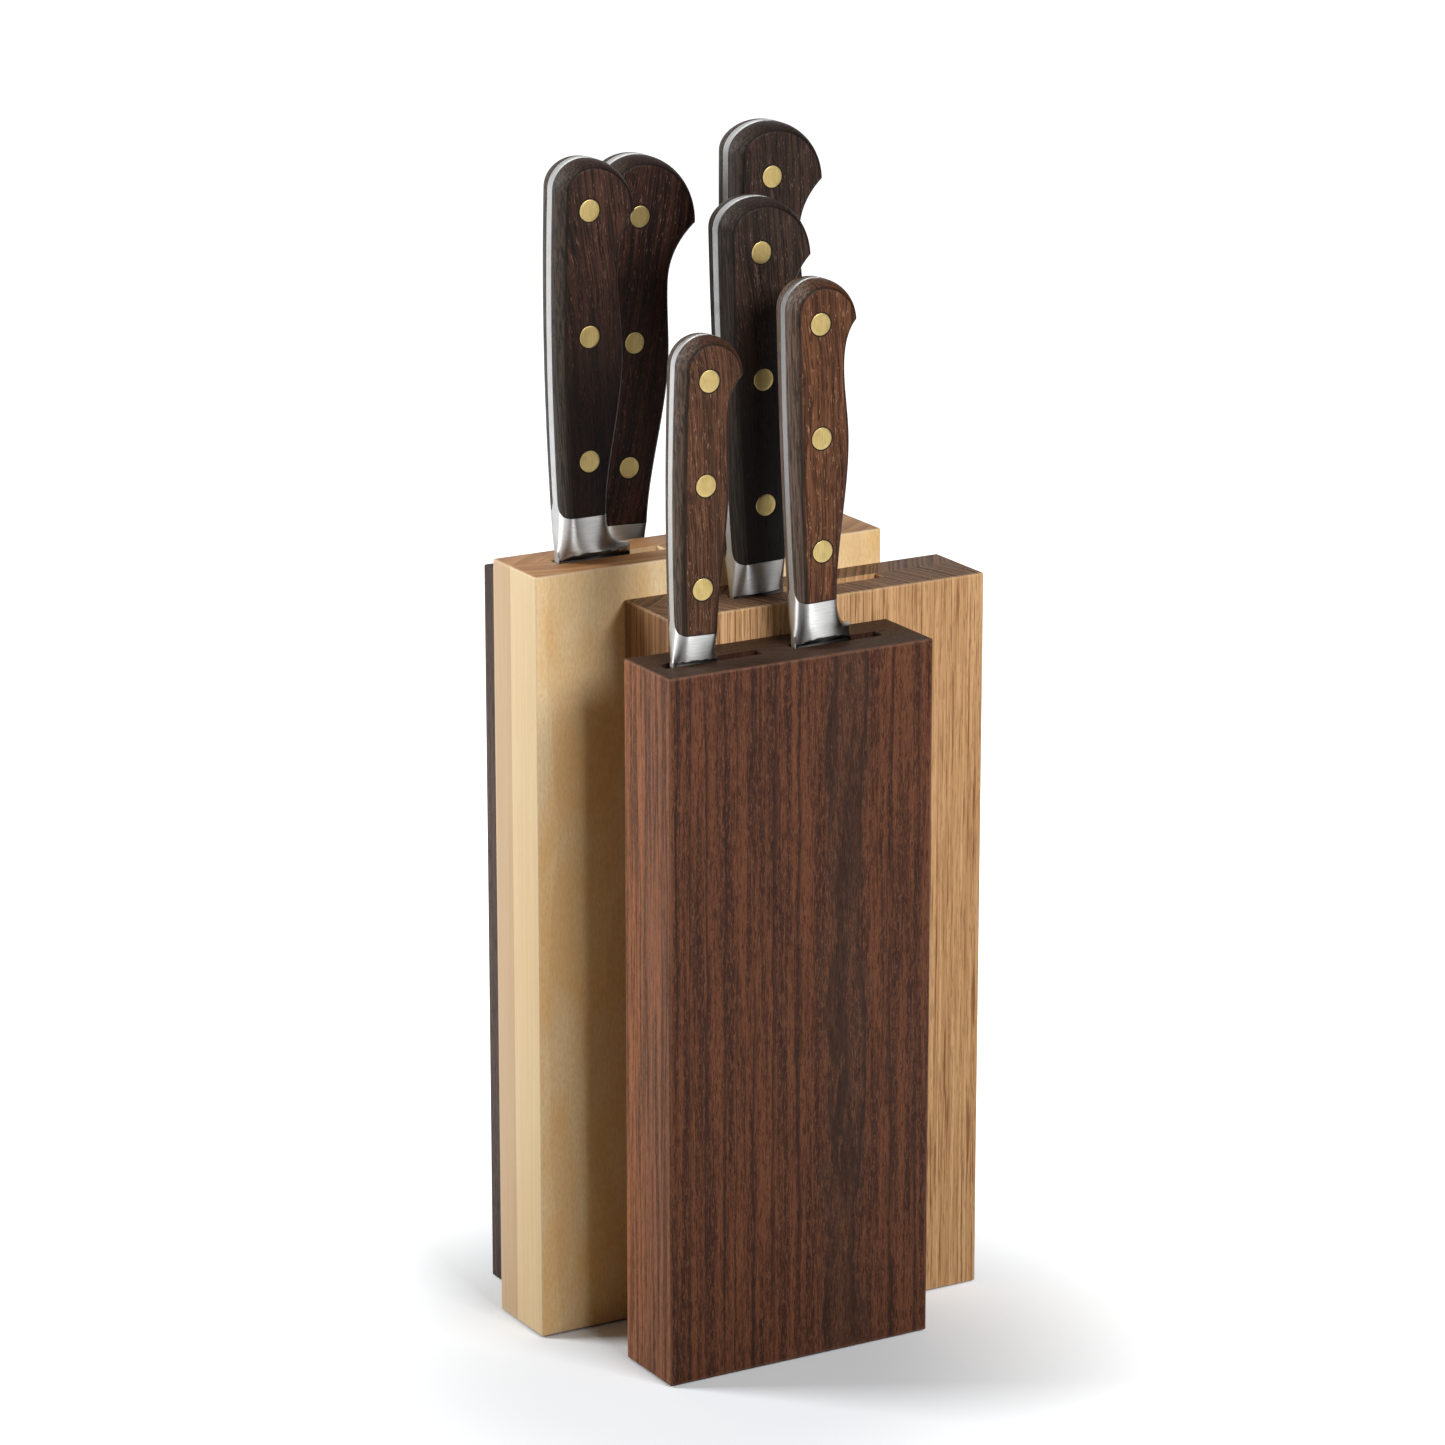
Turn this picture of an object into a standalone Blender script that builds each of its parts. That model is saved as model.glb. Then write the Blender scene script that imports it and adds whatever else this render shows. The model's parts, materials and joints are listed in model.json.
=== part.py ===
"""Staggered four-wood knife block with six riveted kitchen knives.

Four upright blocks are glued face to face in a staggered row.  Each block is two
boards: slots are milled into the back face of its front board, and the back board
closes them.  A knife stands in each slot, blade flat parallel to the front, spine
to the left, bolster on the block's top.  A knife is one forged steel piece (blade,
bolster and full tang) with two wooden scales held by three brass rivets.

Metres, +Z up, front towards -Y.  The origin is on the plane that the feet stand
on, under the middle of the stack.
"""
import math
from dataclasses import dataclass

import bmesh
import bpy
from mathutils import Vector

MM = 0.001

# ---- fits ------------------------------------------------------------------
GAP = 0.3 * MM               # air left between neighbouring pieces

# ---- the stack of boards ---------------------------------------------------
FRONT_BOARD = 17.0 * MM      # thickness of a slotted board
BACK_BOARD = 11.7 * MM       # thickness of the board that closes the slots
SLOT_THICK = 5.0 * MM        # how deep a slot is milled into the front board
SLOT_SPARE = 0.6 * MM        # free width of a slot behind the bolster's spine side
SLOT_BELOW = 12.0 * MM       # free depth of a slot under the blade's tip
ARRIS = 0.7 * MM             # chamfer on the boards' outer edges

DOWEL_RADIUS = 4.0 * MM
DOWEL_LENGTH = 18.0 * MM
DOWEL_HEIGHTS = (0.25, 0.75)  # places as shares of the lower block's height
DOWEL_SPREAD = (0.25, 0.75)   # and of the width that both blocks share

FOOT_RADIUS = 6.0 * MM
FOOT_THICK = 2.0 * MM
FOOT_SHOWS = 0.5 * MM        # how far a foot stands out of its recess
FOOT_INSET = 11.0 * MM       # foot's centre from the board's end
FEET = (("walnut", "left"), ("walnut", "right"), ("oak", "right"),
        ("beech", "left"), ("smoked", "left"), ("smoked", "right"))

# ---- knife details that all six share --------------------------------------
RIVET_RADIUS = 3.65 * MM
THIN_END = 0.84              # handle thickness at the bolster, as a share of the butt's
SIDE_BULGE = 2.2 * MM        # how far a handle's side bellies out at the tang
BULGE_POWER = 1.5            # how the side falls away from the tang to the face
FACE_ROUND = 1.0 * MM        # rounding between a handle's side and its face
BUTT_ROUND = 10.0 * MM       # height of the rounded corner between spine and butt
APEX_SIDE = 0.8 * MM         # highest point of the butt, from the rivet line
RELIEF_SLOPE = 0.85          # fall of the finger relief where it leaves the beak
FILLET = 4.2 * MM            # hollow radius between the tang and the bolster's ledge
# Level cuts of the bolster below its ledge, from the top down: height as a share of the
# ledge's, thickness as a share of the ledge's, and how lens-shaped it is (0 to 1).
BOLSTER_CUTS = ((0.80, 0.86, 0.25), (0.56, 0.70, 0.60), (0.36, 0.58, 0.85))
UNDERCUT_TOP = 2.2 * MM      # where the bolster starts to taper in to the blade
UNDERCUT_SHARE = 0.5         # its thickness there, as a share of the ledge's
UNDERCUT_END = -1.5 * MM     # and where it ends, between the slot's lips
UNDERCUT_HALF = 0.3 * SLOT_THICK     # half the bolster's thickness there
TANG_SUNK = 4.0 * MM         # how far tang and blade run into the bolster
SPINE_THICK = 2.6 * MM
EDGE_THICK = 0.5 * MM
BLADE_SET_IN = 0.5 * MM      # blade's spine behind the bolster's spine side
SPINE_STRAIGHT = 0.55        # straight part of the spine, as a share of the blade's length
TIP_DROP = 0.30              # tip from the spine, as a share of the blade's width
BELLY_START = 0.42           # where the edge starts to curve, as a share of the length
TOOTH_PITCH = 10.0 * MM      # serrations of a bread knife
TOOTH_DEPTH = 1.1 * MM
TEETH_END = 0.90             # last tooth, as a share of the blade's length

ROUND_STEPS = 16             # sides of a rivet, dowel or rivet hole
FOOT_STEPS = 24


@dataclass
class Block:
    """One glued block: left end and width along X, and height."""
    name: str
    left: float
    width: float
    height: float
    colour: tuple
    roughness: float

    @property
    def right(self):
        return self.left + self.width


@dataclass
class Knife:
    """Sizes of one knife, from its rivet line (u) and its bolster's foot (w)."""
    name: str
    block: str
    place: float        # rivet line along X, at the block's top
    lean: float         # degrees, positive towards +X
    lift: float         # bolster's foot above the block's top
    thick: float        # handle thickness at the butt
    tang: float         # tang thickness
    spine: tuple        # spine side from the rivet line: bolster, middle, butt
    crown: float        # top of the butt
    beak: tuple         # pointed corner of the butt: side, and height as a share of crown
    waist: tuple        # deepest point of the finger relief, given the same way
    swell: tuple        # widest point of the grip, given the same way
    throat: float       # belly side at the bolster's ledge
    ledge: float        # height of the ledge that the scales stand on
    heel: tuple         # end of the bolster on the edge side
    rivets: tuple       # lowest rivet, and the pitch of the three, as shares of crown
    blade: tuple        # length and width
    slot_end: float     # slot's end on the edge side, along X
    colour: tuple
    serrated: bool = False
    stands_on_tip: bool = False


BLOCKS = (
    Block("walnut", 0.0, 98.5 * MM, 240.0 * MM, (0.105, 0.042, 0.026), 0.55),
    Block("oak", 16.5 * MM, 120.0 * MM, 250.5 * MM, (0.42, 0.25, 0.12), 0.60),
    Block("beech", -16.0 * MM, 130.5 * MM, 262.0 * MM, (0.72, 0.53, 0.33), 0.50),
    Block("smoked", -4.0 * MM, 110.0 * MM, 252.0 * MM, (0.030, 0.018, 0.014), 0.55),
)

KNIVES = (
    Knife(name="santoku", block="beech", place=8.3 * MM, lean=0.0, lift=0.0,
          thick=17.0 * MM, tang=3.5 * MM, spine=(8.7 * MM, 10.6 * MM, 10.0 * MM),
          crown=132.0 * MM, beak=(18.6 * MM, 0.8606), waist=(12.4 * MM, 0.7250),
          swell=(14.2 * MM, 0.5053), throat=8.0 * MM, ledge=15.2 * MM,
          heel=(18.4 * MM, 3.0 * MM), rivets=(0.2553, 0.3117),
          blade=(170.0 * MM, 32.0 * MM), slot_end=38.6 * MM, colour=(0.085, 0.042, 0.030)),
    Knife(name="bread", block="smoked", place=37.8 * MM, lean=2.67, lift=0.0,
          thick=17.0 * MM, tang=3.5 * MM, spine=(9.5 * MM, 11.8 * MM, 12.0 * MM),
          crown=135.1 * MM, beak=(23.2 * MM, 0.8275), waist=(13.8 * MM, 0.6899),
          swell=(15.3 * MM, 0.4900), throat=9.6 * MM, ledge=12.2 * MM,
          heel=(10.6 * MM, 1.4 * MM), rivets=(0.2339, 0.3109),
          blade=(225.0 * MM, 29.0 * MM), slot_end=66.0 * MM, colour=(0.075, 0.036, 0.026),
          serrated=True),
    Knife(name="carving", block="beech", place=75.9 * MM, lean=0.0, lift=5.0 * MM,
          thick=17.0 * MM, tang=3.5 * MM, spine=(9.8 * MM, 12.4 * MM, 12.8 * MM),
          crown=132.9 * MM, beak=(21.2 * MM, 0.8457), waist=(12.9 * MM, 0.7261),
          swell=(14.8 * MM, 0.5041), throat=9.0 * MM, ledge=12.0 * MM,
          heel=(9.8 * MM, 1.4 * MM), rivets=(0.2423, 0.3138),
          blade=(230.0 * MM, 28.0 * MM), slot_end=101.0 * MM, colour=(0.060, 0.032, 0.026),
          stands_on_tip=True),
    Knife(name="cook", block="oak", place=57.9 * MM, lean=-1.65, lift=0.0,
          thick=17.0 * MM, tang=3.5 * MM, spine=(9.7 * MM, 11.8 * MM, 12.2 * MM),
          crown=131.3 * MM, beak=(20.6 * MM, 0.8408), waist=(12.9 * MM, 0.7197),
          swell=(14.8 * MM, 0.5065), throat=9.0 * MM, ledge=11.7 * MM,
          heel=(9.6 * MM, 1.4 * MM), rivets=(0.2353, 0.3176),
          blade=(200.0 * MM, 42.0 * MM), slot_end=104.7 * MM, colour=(0.048, 0.028, 0.024)),
    Knife(name="paring", block="walnut", place=16.6 * MM, lean=1.7, lift=0.0,
          thick=14.2 * MM, tang=3.0 * MM, spine=(7.3 * MM, 9.3 * MM, 9.6 * MM),
          crown=106.0 * MM, beak=(14.2 * MM, 0.8717), waist=(9.4 * MM, 0.7472),
          swell=(10.4 * MM, 0.5396), throat=7.6 * MM, ledge=9.7 * MM,
          heel=(9.0 * MM, 1.4 * MM), rivets=(0.2340, 0.3179),
          blade=(90.0 * MM, 18.5 * MM), slot_end=41.9 * MM, colour=(0.15, 0.082, 0.055)),
    Knife(name="utility", block="walnut", place=62.05 * MM, lean=-1.3, lift=0.0,
          thick=15.4 * MM, tang=3.0 * MM, spine=(7.8 * MM, 9.3 * MM, 9.6 * MM),
          crown=120.0 * MM, beak=(15.5 * MM, 0.8775), waist=(10.8 * MM, 0.7525),
          swell=(12.2 * MM, 0.5600), throat=7.1 * MM, ledge=14.9 * MM,
          heel=(13.4 * MM, 4.6 * MM), rivets=(0.2642, 0.3104),
          blade=(160.0 * MM, 24.0 * MM), slot_end=86.4 * MM, colour=(0.16, 0.085, 0.052)),
)

STEEL = (0.62, 0.62, 0.61)
BRASS = (0.74, 0.58, 0.28)
DOWEL_WOOD = (0.60, 0.44, 0.27)
RUBBER = (0.03, 0.03, 0.03)

# ---- places worked out from the sizes above --------------------------------
MIDDLE_X = (min(b.left for b in BLOCKS) + max(b.right for b in BLOCKS)) / 2
BLOCK_PITCH = FRONT_BOARD + GAP + BACK_BOARD + GAP
FRONT_Y = -(len(BLOCKS) * BLOCK_PITCH - GAP) / 2


def block_index(name):
    return [b.name for b in BLOCKS].index(name)


def front_of(name):
    """Y of the front face of the named block."""
    return FRONT_Y + block_index(name) * BLOCK_PITCH


def slot_middle(name):
    """Y of the middle plane of the named block's slots."""
    return front_of(name) + FRONT_BOARD - SLOT_THICK / 2


def top_of(name):
    return FOOT_SHOWS + BLOCKS[block_index(name)].height


# ---- making objects --------------------------------------------------------
def clear_scene():
    for obj in list(bpy.data.objects):
        bpy.data.objects.remove(obj, do_unlink=True)


def finish(name, colour, roughness, metallic=0.0):
    material = bpy.data.materials.new(name)
    material.use_nodes = True
    shader = material.node_tree.nodes["Principled BSDF"]
    shader.inputs["Base Color"].default_value = (*colour, 1.0)
    shader.inputs["Roughness"].default_value = roughness
    shader.inputs["Metallic"].default_value = metallic
    material.diffuse_color = (*colour, 1.0)
    return material


def add_object(name, bm, material=None, parent=None, place=(0, 0, 0), smooth=False):
    bmesh.ops.recalc_face_normals(bm, faces=bm.faces)
    mesh = bpy.data.meshes.new(name)
    bm.to_mesh(mesh)
    bm.free()
    if smooth:
        mesh.shade_smooth()
        mesh.set_sharp_from_angle(angle=math.radians(35))
    if material:
        mesh.materials.append(material)
    obj = bpy.data.objects.new(name, mesh)
    obj.location = place
    obj.parent = parent
    bpy.context.scene.collection.objects.link(obj)
    return obj


def as_tool(obj):
    obj.hide_render = True
    obj.display_type = "WIRE"
    return obj


def combine(obj, tool, operation):
    modifier = obj.modifiers.new(tool.name, "BOOLEAN")
    modifier.operation = operation
    modifier.object = tool
    modifier.solver = "EXACT"


def box_mesh(low, high):
    bm = bmesh.new()
    bmesh.ops.create_cube(bm, size=1.0)
    size = Vector(high) - Vector(low)
    bmesh.ops.scale(bm, vec=size, verts=bm.verts)
    bmesh.ops.translate(bm, vec=(Vector(high) + Vector(low)) / 2, verts=bm.verts)
    return bm


def rod_along_y(bm, radius, length, middle):
    """Add a closed rod to bm, its axis along Y."""
    made = bmesh.ops.create_cone(bm, cap_ends=True, segments=ROUND_STEPS,
                                 radius1=radius, radius2=radius, depth=length)
    turn = Vector((0, 0, 1)).rotation_difference(Vector((0, 1, 0))).to_matrix()
    bmesh.ops.rotate(bm, cent=(0, 0, 0), matrix=turn, verts=made["verts"])
    bmesh.ops.translate(bm, vec=middle, verts=made["verts"])


def loft(rings):
    """Closed skin over rings with the same number of points, ends capped."""
    bm = bmesh.new()
    loops = [[bm.verts.new(point) for point in ring] for ring in rings]
    count = len(loops[0])
    for lower, upper in zip(loops, loops[1:]):
        for i in range(count):
            j = (i + 1) % count
            bm.faces.new((lower[i], lower[j], upper[j], upper[i]))
    bm.faces.new(loops[0])
    bm.faces.new(loops[-1])
    return bm


# ---- boards, dowels and feet -----------------------------------------------
def board_mesh(block, front, thickness, joint_face):
    """A board with its outer edges chamfered; joint_face is +1 or -1 along Y."""
    low = (block.left - MIDDLE_X, front, FOOT_SHOWS)
    high = (block.right - MIDDLE_X, front + thickness, FOOT_SHOWS + block.height)
    bm = box_mesh(low, high)
    bm.normal_update()
    glued = [f for f in bm.faces if f.normal.y * joint_face > 0.9][0]
    outer = [e for e in bm.edges if glued not in e.link_faces]
    bmesh.ops.bevel(bm, geom=outer, offset=ARRIS, segments=1, affect="EDGES")
    return bm


def slot_span(knife):
    """Low and high corners of the milled slot of a knife."""
    length, _ = knife.blade
    drift = math.tan(math.radians(knife.lean)) * length
    spine = knife.place - knife.spine[0] - max(drift, 0.0)
    tip_room = GAP if knife.stands_on_tip else SLOT_BELOW
    back = front_of(knife.block) + FRONT_BOARD
    top = top_of(knife.block)
    floor = top + knife.lift + GAP - length - tip_room
    low = (spine - SLOT_SPARE - MIDDLE_X, back - SLOT_THICK, floor)
    high = (knife.slot_end - MIDDLE_X, back, top)
    return low, high


def dowel_places():
    """Middle of each dowel, where two neighbouring blocks meet."""
    places = []
    for before, after in zip(BLOCKS, BLOCKS[1:]):
        left = max(before.left, after.left)
        right = min(before.right, after.right)
        height = min(before.height, after.height)
        y = front_of(after.name) - GAP / 2
        for across, up in zip(DOWEL_SPREAD, DOWEL_HEIGHTS):
            x = left + across * (right - left) - MIDDLE_X
            places.append((before.name, after.name, (x, y, FOOT_SHOWS + up * height)))
    return places


def foot_place(block_name, side):
    block = BLOCKS[block_index(block_name)]
    x = block.left + FOOT_INSET if side == "left" else block.right - FOOT_INSET
    return (x - MIDDLE_X, front_of(block_name) + FRONT_BOARD / 2, 0.0)


def build_boards():
    for block in BLOCKS:
        wood = finish(block.name + "_wood", block.colour, block.roughness)
        front = front_of(block.name)
        slotted = add_object(block.name + "_front_board",
                             board_mesh(block, front, FRONT_BOARD, joint_face=1), wood)
        closing = add_object(block.name + "_back_board",
                             board_mesh(block, front + FRONT_BOARD + GAP, BACK_BOARD, joint_face=-1),
                             wood)
        for knife in KNIVES:
            if knife.block == block.name:
                low, high = slot_span(knife)
                past = (high[0], high[1] + GAP / 2, high[2] + SLOT_THICK)
                tool = as_tool(add_object(knife.name + "_slot_cut", box_mesh(low, past)))
                combine(slotted, tool, "DIFFERENCE")
        for number, (before, after, place) in enumerate(dowel_places(), 1):
            board = {before: closing, after: slotted}.get(block.name)
            if board:
                bm = bmesh.new()
                rod_along_y(bm, DOWEL_RADIUS + GAP, DOWEL_LENGTH + 2 * GAP, place)
                tool = as_tool(add_object(f"dowel_hole_{number}_{block.name}", bm))
                combine(board, tool, "DIFFERENCE")
        for number, (name, side) in enumerate(FEET, 1):
            if name == block.name:
                tool = as_tool(add_object(f"foot_recess_{number}", foot_mesh(
                    foot_place(name, side), FOOT_RADIUS + GAP, FOOT_THICK + GAP)))
                combine(slotted, tool, "DIFFERENCE")


def build_dowels():
    wood = finish("dowel_wood", DOWEL_WOOD, 0.6)
    for number, (_, _, place) in enumerate(dowel_places(), 1):
        bm = bmesh.new()
        rod_along_y(bm, DOWEL_RADIUS, DOWEL_LENGTH, place)
        add_object(f"dowel_{number}", bm, wood, smooth=True)


def foot_mesh(place, radius, height):
    bm = bmesh.new()
    made = bmesh.ops.create_cone(bm, cap_ends=True, segments=FOOT_STEPS,
                                 radius1=radius, radius2=radius, depth=height)
    middle = (place[0], place[1], place[2] + height / 2)
    bmesh.ops.translate(bm, vec=middle, verts=made["verts"])
    return bm


def build_feet():
    rubber = finish("rubber", RUBBER, 0.8)
    for number, (name, side) in enumerate(FEET, 1):
        add_object(f"foot_{number}", foot_mesh(foot_place(name, side), FOOT_RADIUS, FOOT_THICK),
                   rubber, smooth=True)


# ---- handle shape ----------------------------------------------------------
def half_thickness(knife, w):
    """Half the handle's thickness at a height; it thins towards the bolster."""
    share = THIN_END + (1 - THIN_END) * (w - knife.ledge) / (knife.crown - knife.ledge)
    return share * knife.thick / 2


def fillet(knife):
    """Hollow radius at the ledge; it never reaches past the bolster's own face."""
    wall = half_thickness(knife, knife.ledge) - knife.tang / 2
    return min(FILLET, wall - GAP / 2)


def spine_side(knife, w):
    """Distance from the rivet line to the spine side, through three given sizes."""
    low, middle, top = knife.spine
    t = (w - knife.ledge) / (knife.crown - BUTT_ROUND - knife.ledge)
    t = max(t, 0.0)
    return low * (1 - t) * (1 - 2 * t) + 4 * middle * t * (1 - t) + top * t * (2 * t - 1)


def steps(count, first=1):
    """Shares of a stretch, from first/count up to its end."""
    return [i / count for i in range(first, count + 1)]


def ease(t):
    return t * t * (3 - 2 * t)


def handle_outline(knife):
    """Widest outline of the handle: up the spine, over the butt, down the belly."""
    points = []
    shoulder = knife.crown - BUTT_ROUND
    for t in steps(4, first=0):
        w = knife.ledge + t * (shoulder - knife.ledge)
        points.append((-spine_side(knife, w), w))
    reach = knife.spine[2] + APEX_SIDE
    for t in steps(4):
        angle = t * math.pi / 2
        points.append((APEX_SIDE - reach * math.cos(angle), shoulder + BUTT_ROUND * math.sin(angle)))
    beak_u, beak_w = knife.beak[0], knife.beak[1] * knife.crown
    for t in steps(6):
        angle = t * math.pi / 2
        points.append((APEX_SIDE + (beak_u - APEX_SIDE) * math.sin(angle),
                       beak_w + (knife.crown - beak_w) * math.cos(angle)))
    waist_u, waist_w = knife.waist[0], knife.waist[1] * knife.crown
    bend_w = beak_w - RELIEF_SLOPE * (beak_u - waist_u)
    for t in steps(4):
        points.append((beak_u * (1 - t) ** 2 + waist_u * t * (2 - t),
                       beak_w * (1 - t) ** 2 + 2 * bend_w * t * (1 - t) + waist_w * t * t))
    swell_u, swell_w = knife.swell[0], knife.swell[1] * knife.crown
    for t in steps(2):
        points.append((waist_u + (swell_u - waist_u) * ease(t), waist_w + (swell_w - waist_w) * t))
    for t in steps(5):
        points.append((swell_u + (knife.throat - swell_u) * ease(t),
                       swell_w + (knife.ledge - swell_w) * t))
    return points


def standing_at(outline, w):
    """The outline with its two lower corners moved along its sides to height w."""
    moved = list(outline)
    for corner, neighbour in ((0, 1), (-1, -2)):
        (u0, w0), (u1, w1) = outline[corner], outline[neighbour]
        moved[corner] = (u0 + (u1 - u0) * (w - w0) / (w1 - w0), w)
    return moved


def inset(outline, distance):
    """The outline moved inwards; its two lower corners keep their height."""
    moved = [(outline[0][0] + distance, outline[0][1])]
    for before, here, after in zip(outline, outline[1:], outline[2:]):
        arriving = (Vector(here) - Vector(before)).normalized()
        leaving = (Vector(after) - Vector(here)).normalized()
        inward = Vector((arriving.y + leaving.y, -arriving.x - leaving.x)).normalized()
        reach = distance / inward.dot(Vector((arriving.y, -arriving.x)))
        moved.append((here[0] + inward.x * reach, here[1] + inward.y * reach))
    moved.append((outline[-1][0] - distance, outline[-1][1]))
    return moved


def scale_mesh(knife, side):
    """One handle scale, lofted from the tang outwards; side is -1 for the front."""
    outline = handle_outline(knife)
    inner = knife.tang / 2 + GAP
    depth = half_thickness(knife, knife.ledge) - inner
    hollow = fillet(knife)
    layers = []
    for degrees in (0, 30, 60):
        angle = math.radians(degrees)
        layers.append((hollow * (1 - math.cos(angle)), hollow * (1 - math.sin(angle))))
    layers.append((depth - FACE_ROUND, 0.0))
    rings = []
    for out, rise in layers:
        bulge_lost = SIDE_BULGE * (out / (depth - FACE_ROUND)) ** BULGE_POWER
        ring = inset(standing_at(outline, knife.ledge + GAP + rise), bulge_lost)
        rings.append((out / depth, ring))
    face = inset(standing_at(outline, knife.ledge + GAP), SIDE_BULGE + FACE_ROUND)
    rings.append((1.0, face))
    placed = []
    for share, ring in rings:
        placed.append([(u, side * (inner + share * (half_thickness(knife, w) - inner)), w)
                       for u, w in ring])
    return loft(placed)


# ---- forged steel: bolster, tang and blade ---------------------------------
def bolster_section(left, right, half, w, lens):
    """One level cut of the bolster: flat-faced like the handle, or lens-shaped."""
    width = right - left
    # Each corner as distances from the side, with shares of the half thickness.
    flat = ((0.0, 0.20), (0.3 * SIDE_BULGE, 0.60), (SIDE_BULGE, 0.88),
            (SIDE_BULGE + FACE_ROUND, 1.0))
    lenticular = ((0.0, 0.16), (0.08 * width, 0.55), (0.22 * width, 0.86), (0.40 * width, 1.0))
    corner = []
    for (flat_in, flat_share), (lens_in, lens_share) in zip(flat, lenticular):
        corner.append((flat_in + (lens_in - flat_in) * lens,
                       half * (flat_share + (lens_share - flat_share) * lens)))
    ring = [(left + o, -y, w) for o, y in reversed(corner)]
    ring += [(left + o, y, w) for o, y in corner]
    ring += [(right - o, y, w) for o, y in reversed(corner)]
    ring += [(right - o, -y, w) for o, y in corner]
    return ring


def throat_side(knife, w):
    """Edge side of the bolster below the ledge: a hollow sweep out to the heel."""
    heel_u, heel_w = knife.heel
    if w <= heel_w:
        return heel_u
    sine = (knife.ledge - w) / (knife.ledge - heel_w)
    return knife.throat + (heel_u - knife.throat) * (1 - math.sqrt(1 - sine * sine))


def bolster_mesh(knife):
    low_spine = knife.spine[0]
    outline = handle_outline(knife)
    (u0, w0), (u1, w1) = outline[-1], outline[-2]
    tuck = GAP / 2               # the fillet's rings stay inside the tang plate's outline
    hollow = fillet(knife)
    rings = []
    for degrees in (0, 30, 60, 90):
        angle = math.radians(degrees)
        rise = hollow * (1 - math.sin(angle))
        half = knife.tang / 2 + hollow * (1 - math.cos(angle))
        w = knife.ledge + rise
        belly = u0 + (u1 - u0) * (w - w0) / (w1 - w0)
        if degrees == 0:
            half -= tuck
        rings.append(bolster_section(-spine_side(knife, w) + tuck, belly - tuck, half, w, lens=0.0))
    full = half_thickness(knife, knife.ledge)
    rings.append(bolster_section(-low_spine, knife.throat, full, knife.ledge, lens=0.0))
    for height, share, lens in BOLSTER_CUTS:
        w = height * knife.ledge
        rings.append(bolster_section(-low_spine, throat_side(knife, w), share * full, w, lens))
    rings.append(bolster_section(-low_spine, throat_side(knife, UNDERCUT_TOP),
                                 UNDERCUT_SHARE * full, UNDERCUT_TOP, lens=1.0))
    rings.append(bolster_section(-low_spine, knife.heel[0], UNDERCUT_HALF, UNDERCUT_END, lens=0.0))
    return loft(rings)


def tang_mesh(knife):
    """Full-length tang plate, its foot sunk into the bolster."""
    outline = handle_outline(knife)
    foot = knife.ledge - TANG_SUNK
    (first_u, _), (last_u, _) = outline[0], outline[-1]
    sunk = [(first_u + SIDE_BULGE, foot)] + outline + [(last_u - SIDE_BULGE, foot)]
    half = knife.tang / 2
    return loft([[(u, y, w) for u, w in sunk] for y in (-half, half)])


def blade_outline(knife):
    """Spine down to the tip, then back up the cutting edge; tip near the spine."""
    length, width = knife.blade
    spine = -knife.spine[0] + BLADE_SET_IN
    edge = spine + width
    tip_u = spine + TIP_DROP * width
    points = [(spine, TANG_SUNK), (spine, -SPINE_STRAIGHT * length)]
    for t in steps(4):
        points.append((spine + (tip_u - spine) * t * t,
                       -length * (SPINE_STRAIGHT + (1 - SPINE_STRAIGHT) * t)))
    belly_start = -BELLY_START * length
    if knife.serrated:
        points.append((edge - TIP_DROP / 3 * width, -(1 + TEETH_END) / 2 * length))
        teeth = round(TEETH_END * length / TOOTH_PITCH) - 1
        for tooth in range(teeth, 0, -1):
            w = -TOOTH_PITCH * tooth
            points.append((edge, w - TOOTH_PITCH / 2))
            points.append((edge - TOOTH_DEPTH, w - TOOTH_PITCH / 4))
            points.append((edge - TOOTH_DEPTH, w + TOOTH_PITCH / 4))
    else:
        for t in reversed(steps(6)[:-1]):
            angle = t * math.pi / 2
            points.append((tip_u + (edge - tip_u) * math.cos(angle),
                           belly_start + (length + belly_start) * -math.sin(angle)))
        points.append((edge, belly_start))
    points.append((edge, UNDERCUT_END))
    points.append((knife.heel[0] - BLADE_SET_IN, 0.0))
    points.append((knife.throat - BLADE_SET_IN, TANG_SUNK))
    return points


def blade_mesh(knife):
    """The blade as a wedge, thick at the spine and thin at the edge."""
    _, width = knife.blade
    spine = -knife.spine[0] + BLADE_SET_IN

    def half(u):
        share = min(max((u - spine) / width, 0.0), 1.0)
        return (SPINE_THICK + (EDGE_THICK - SPINE_THICK) * share) / 2

    outline = blade_outline(knife)
    return loft([[(u, sign * half(u), w) for u, w in outline] for sign in (-1, 1)])


def rivet_heights(knife):
    lowest, pitch = knife.rivets
    return [(lowest + pitch * i) * knife.crown for i in range(3)]


def rivet_hole_tool(knife, name, parent):
    bm = bmesh.new()
    for w in rivet_heights(knife):
        rod_along_y(bm, RIVET_RADIUS + GAP, 2 * knife.thick, (0, 0, w))
    return as_tool(add_object(name, bm, parent=parent))


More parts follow.
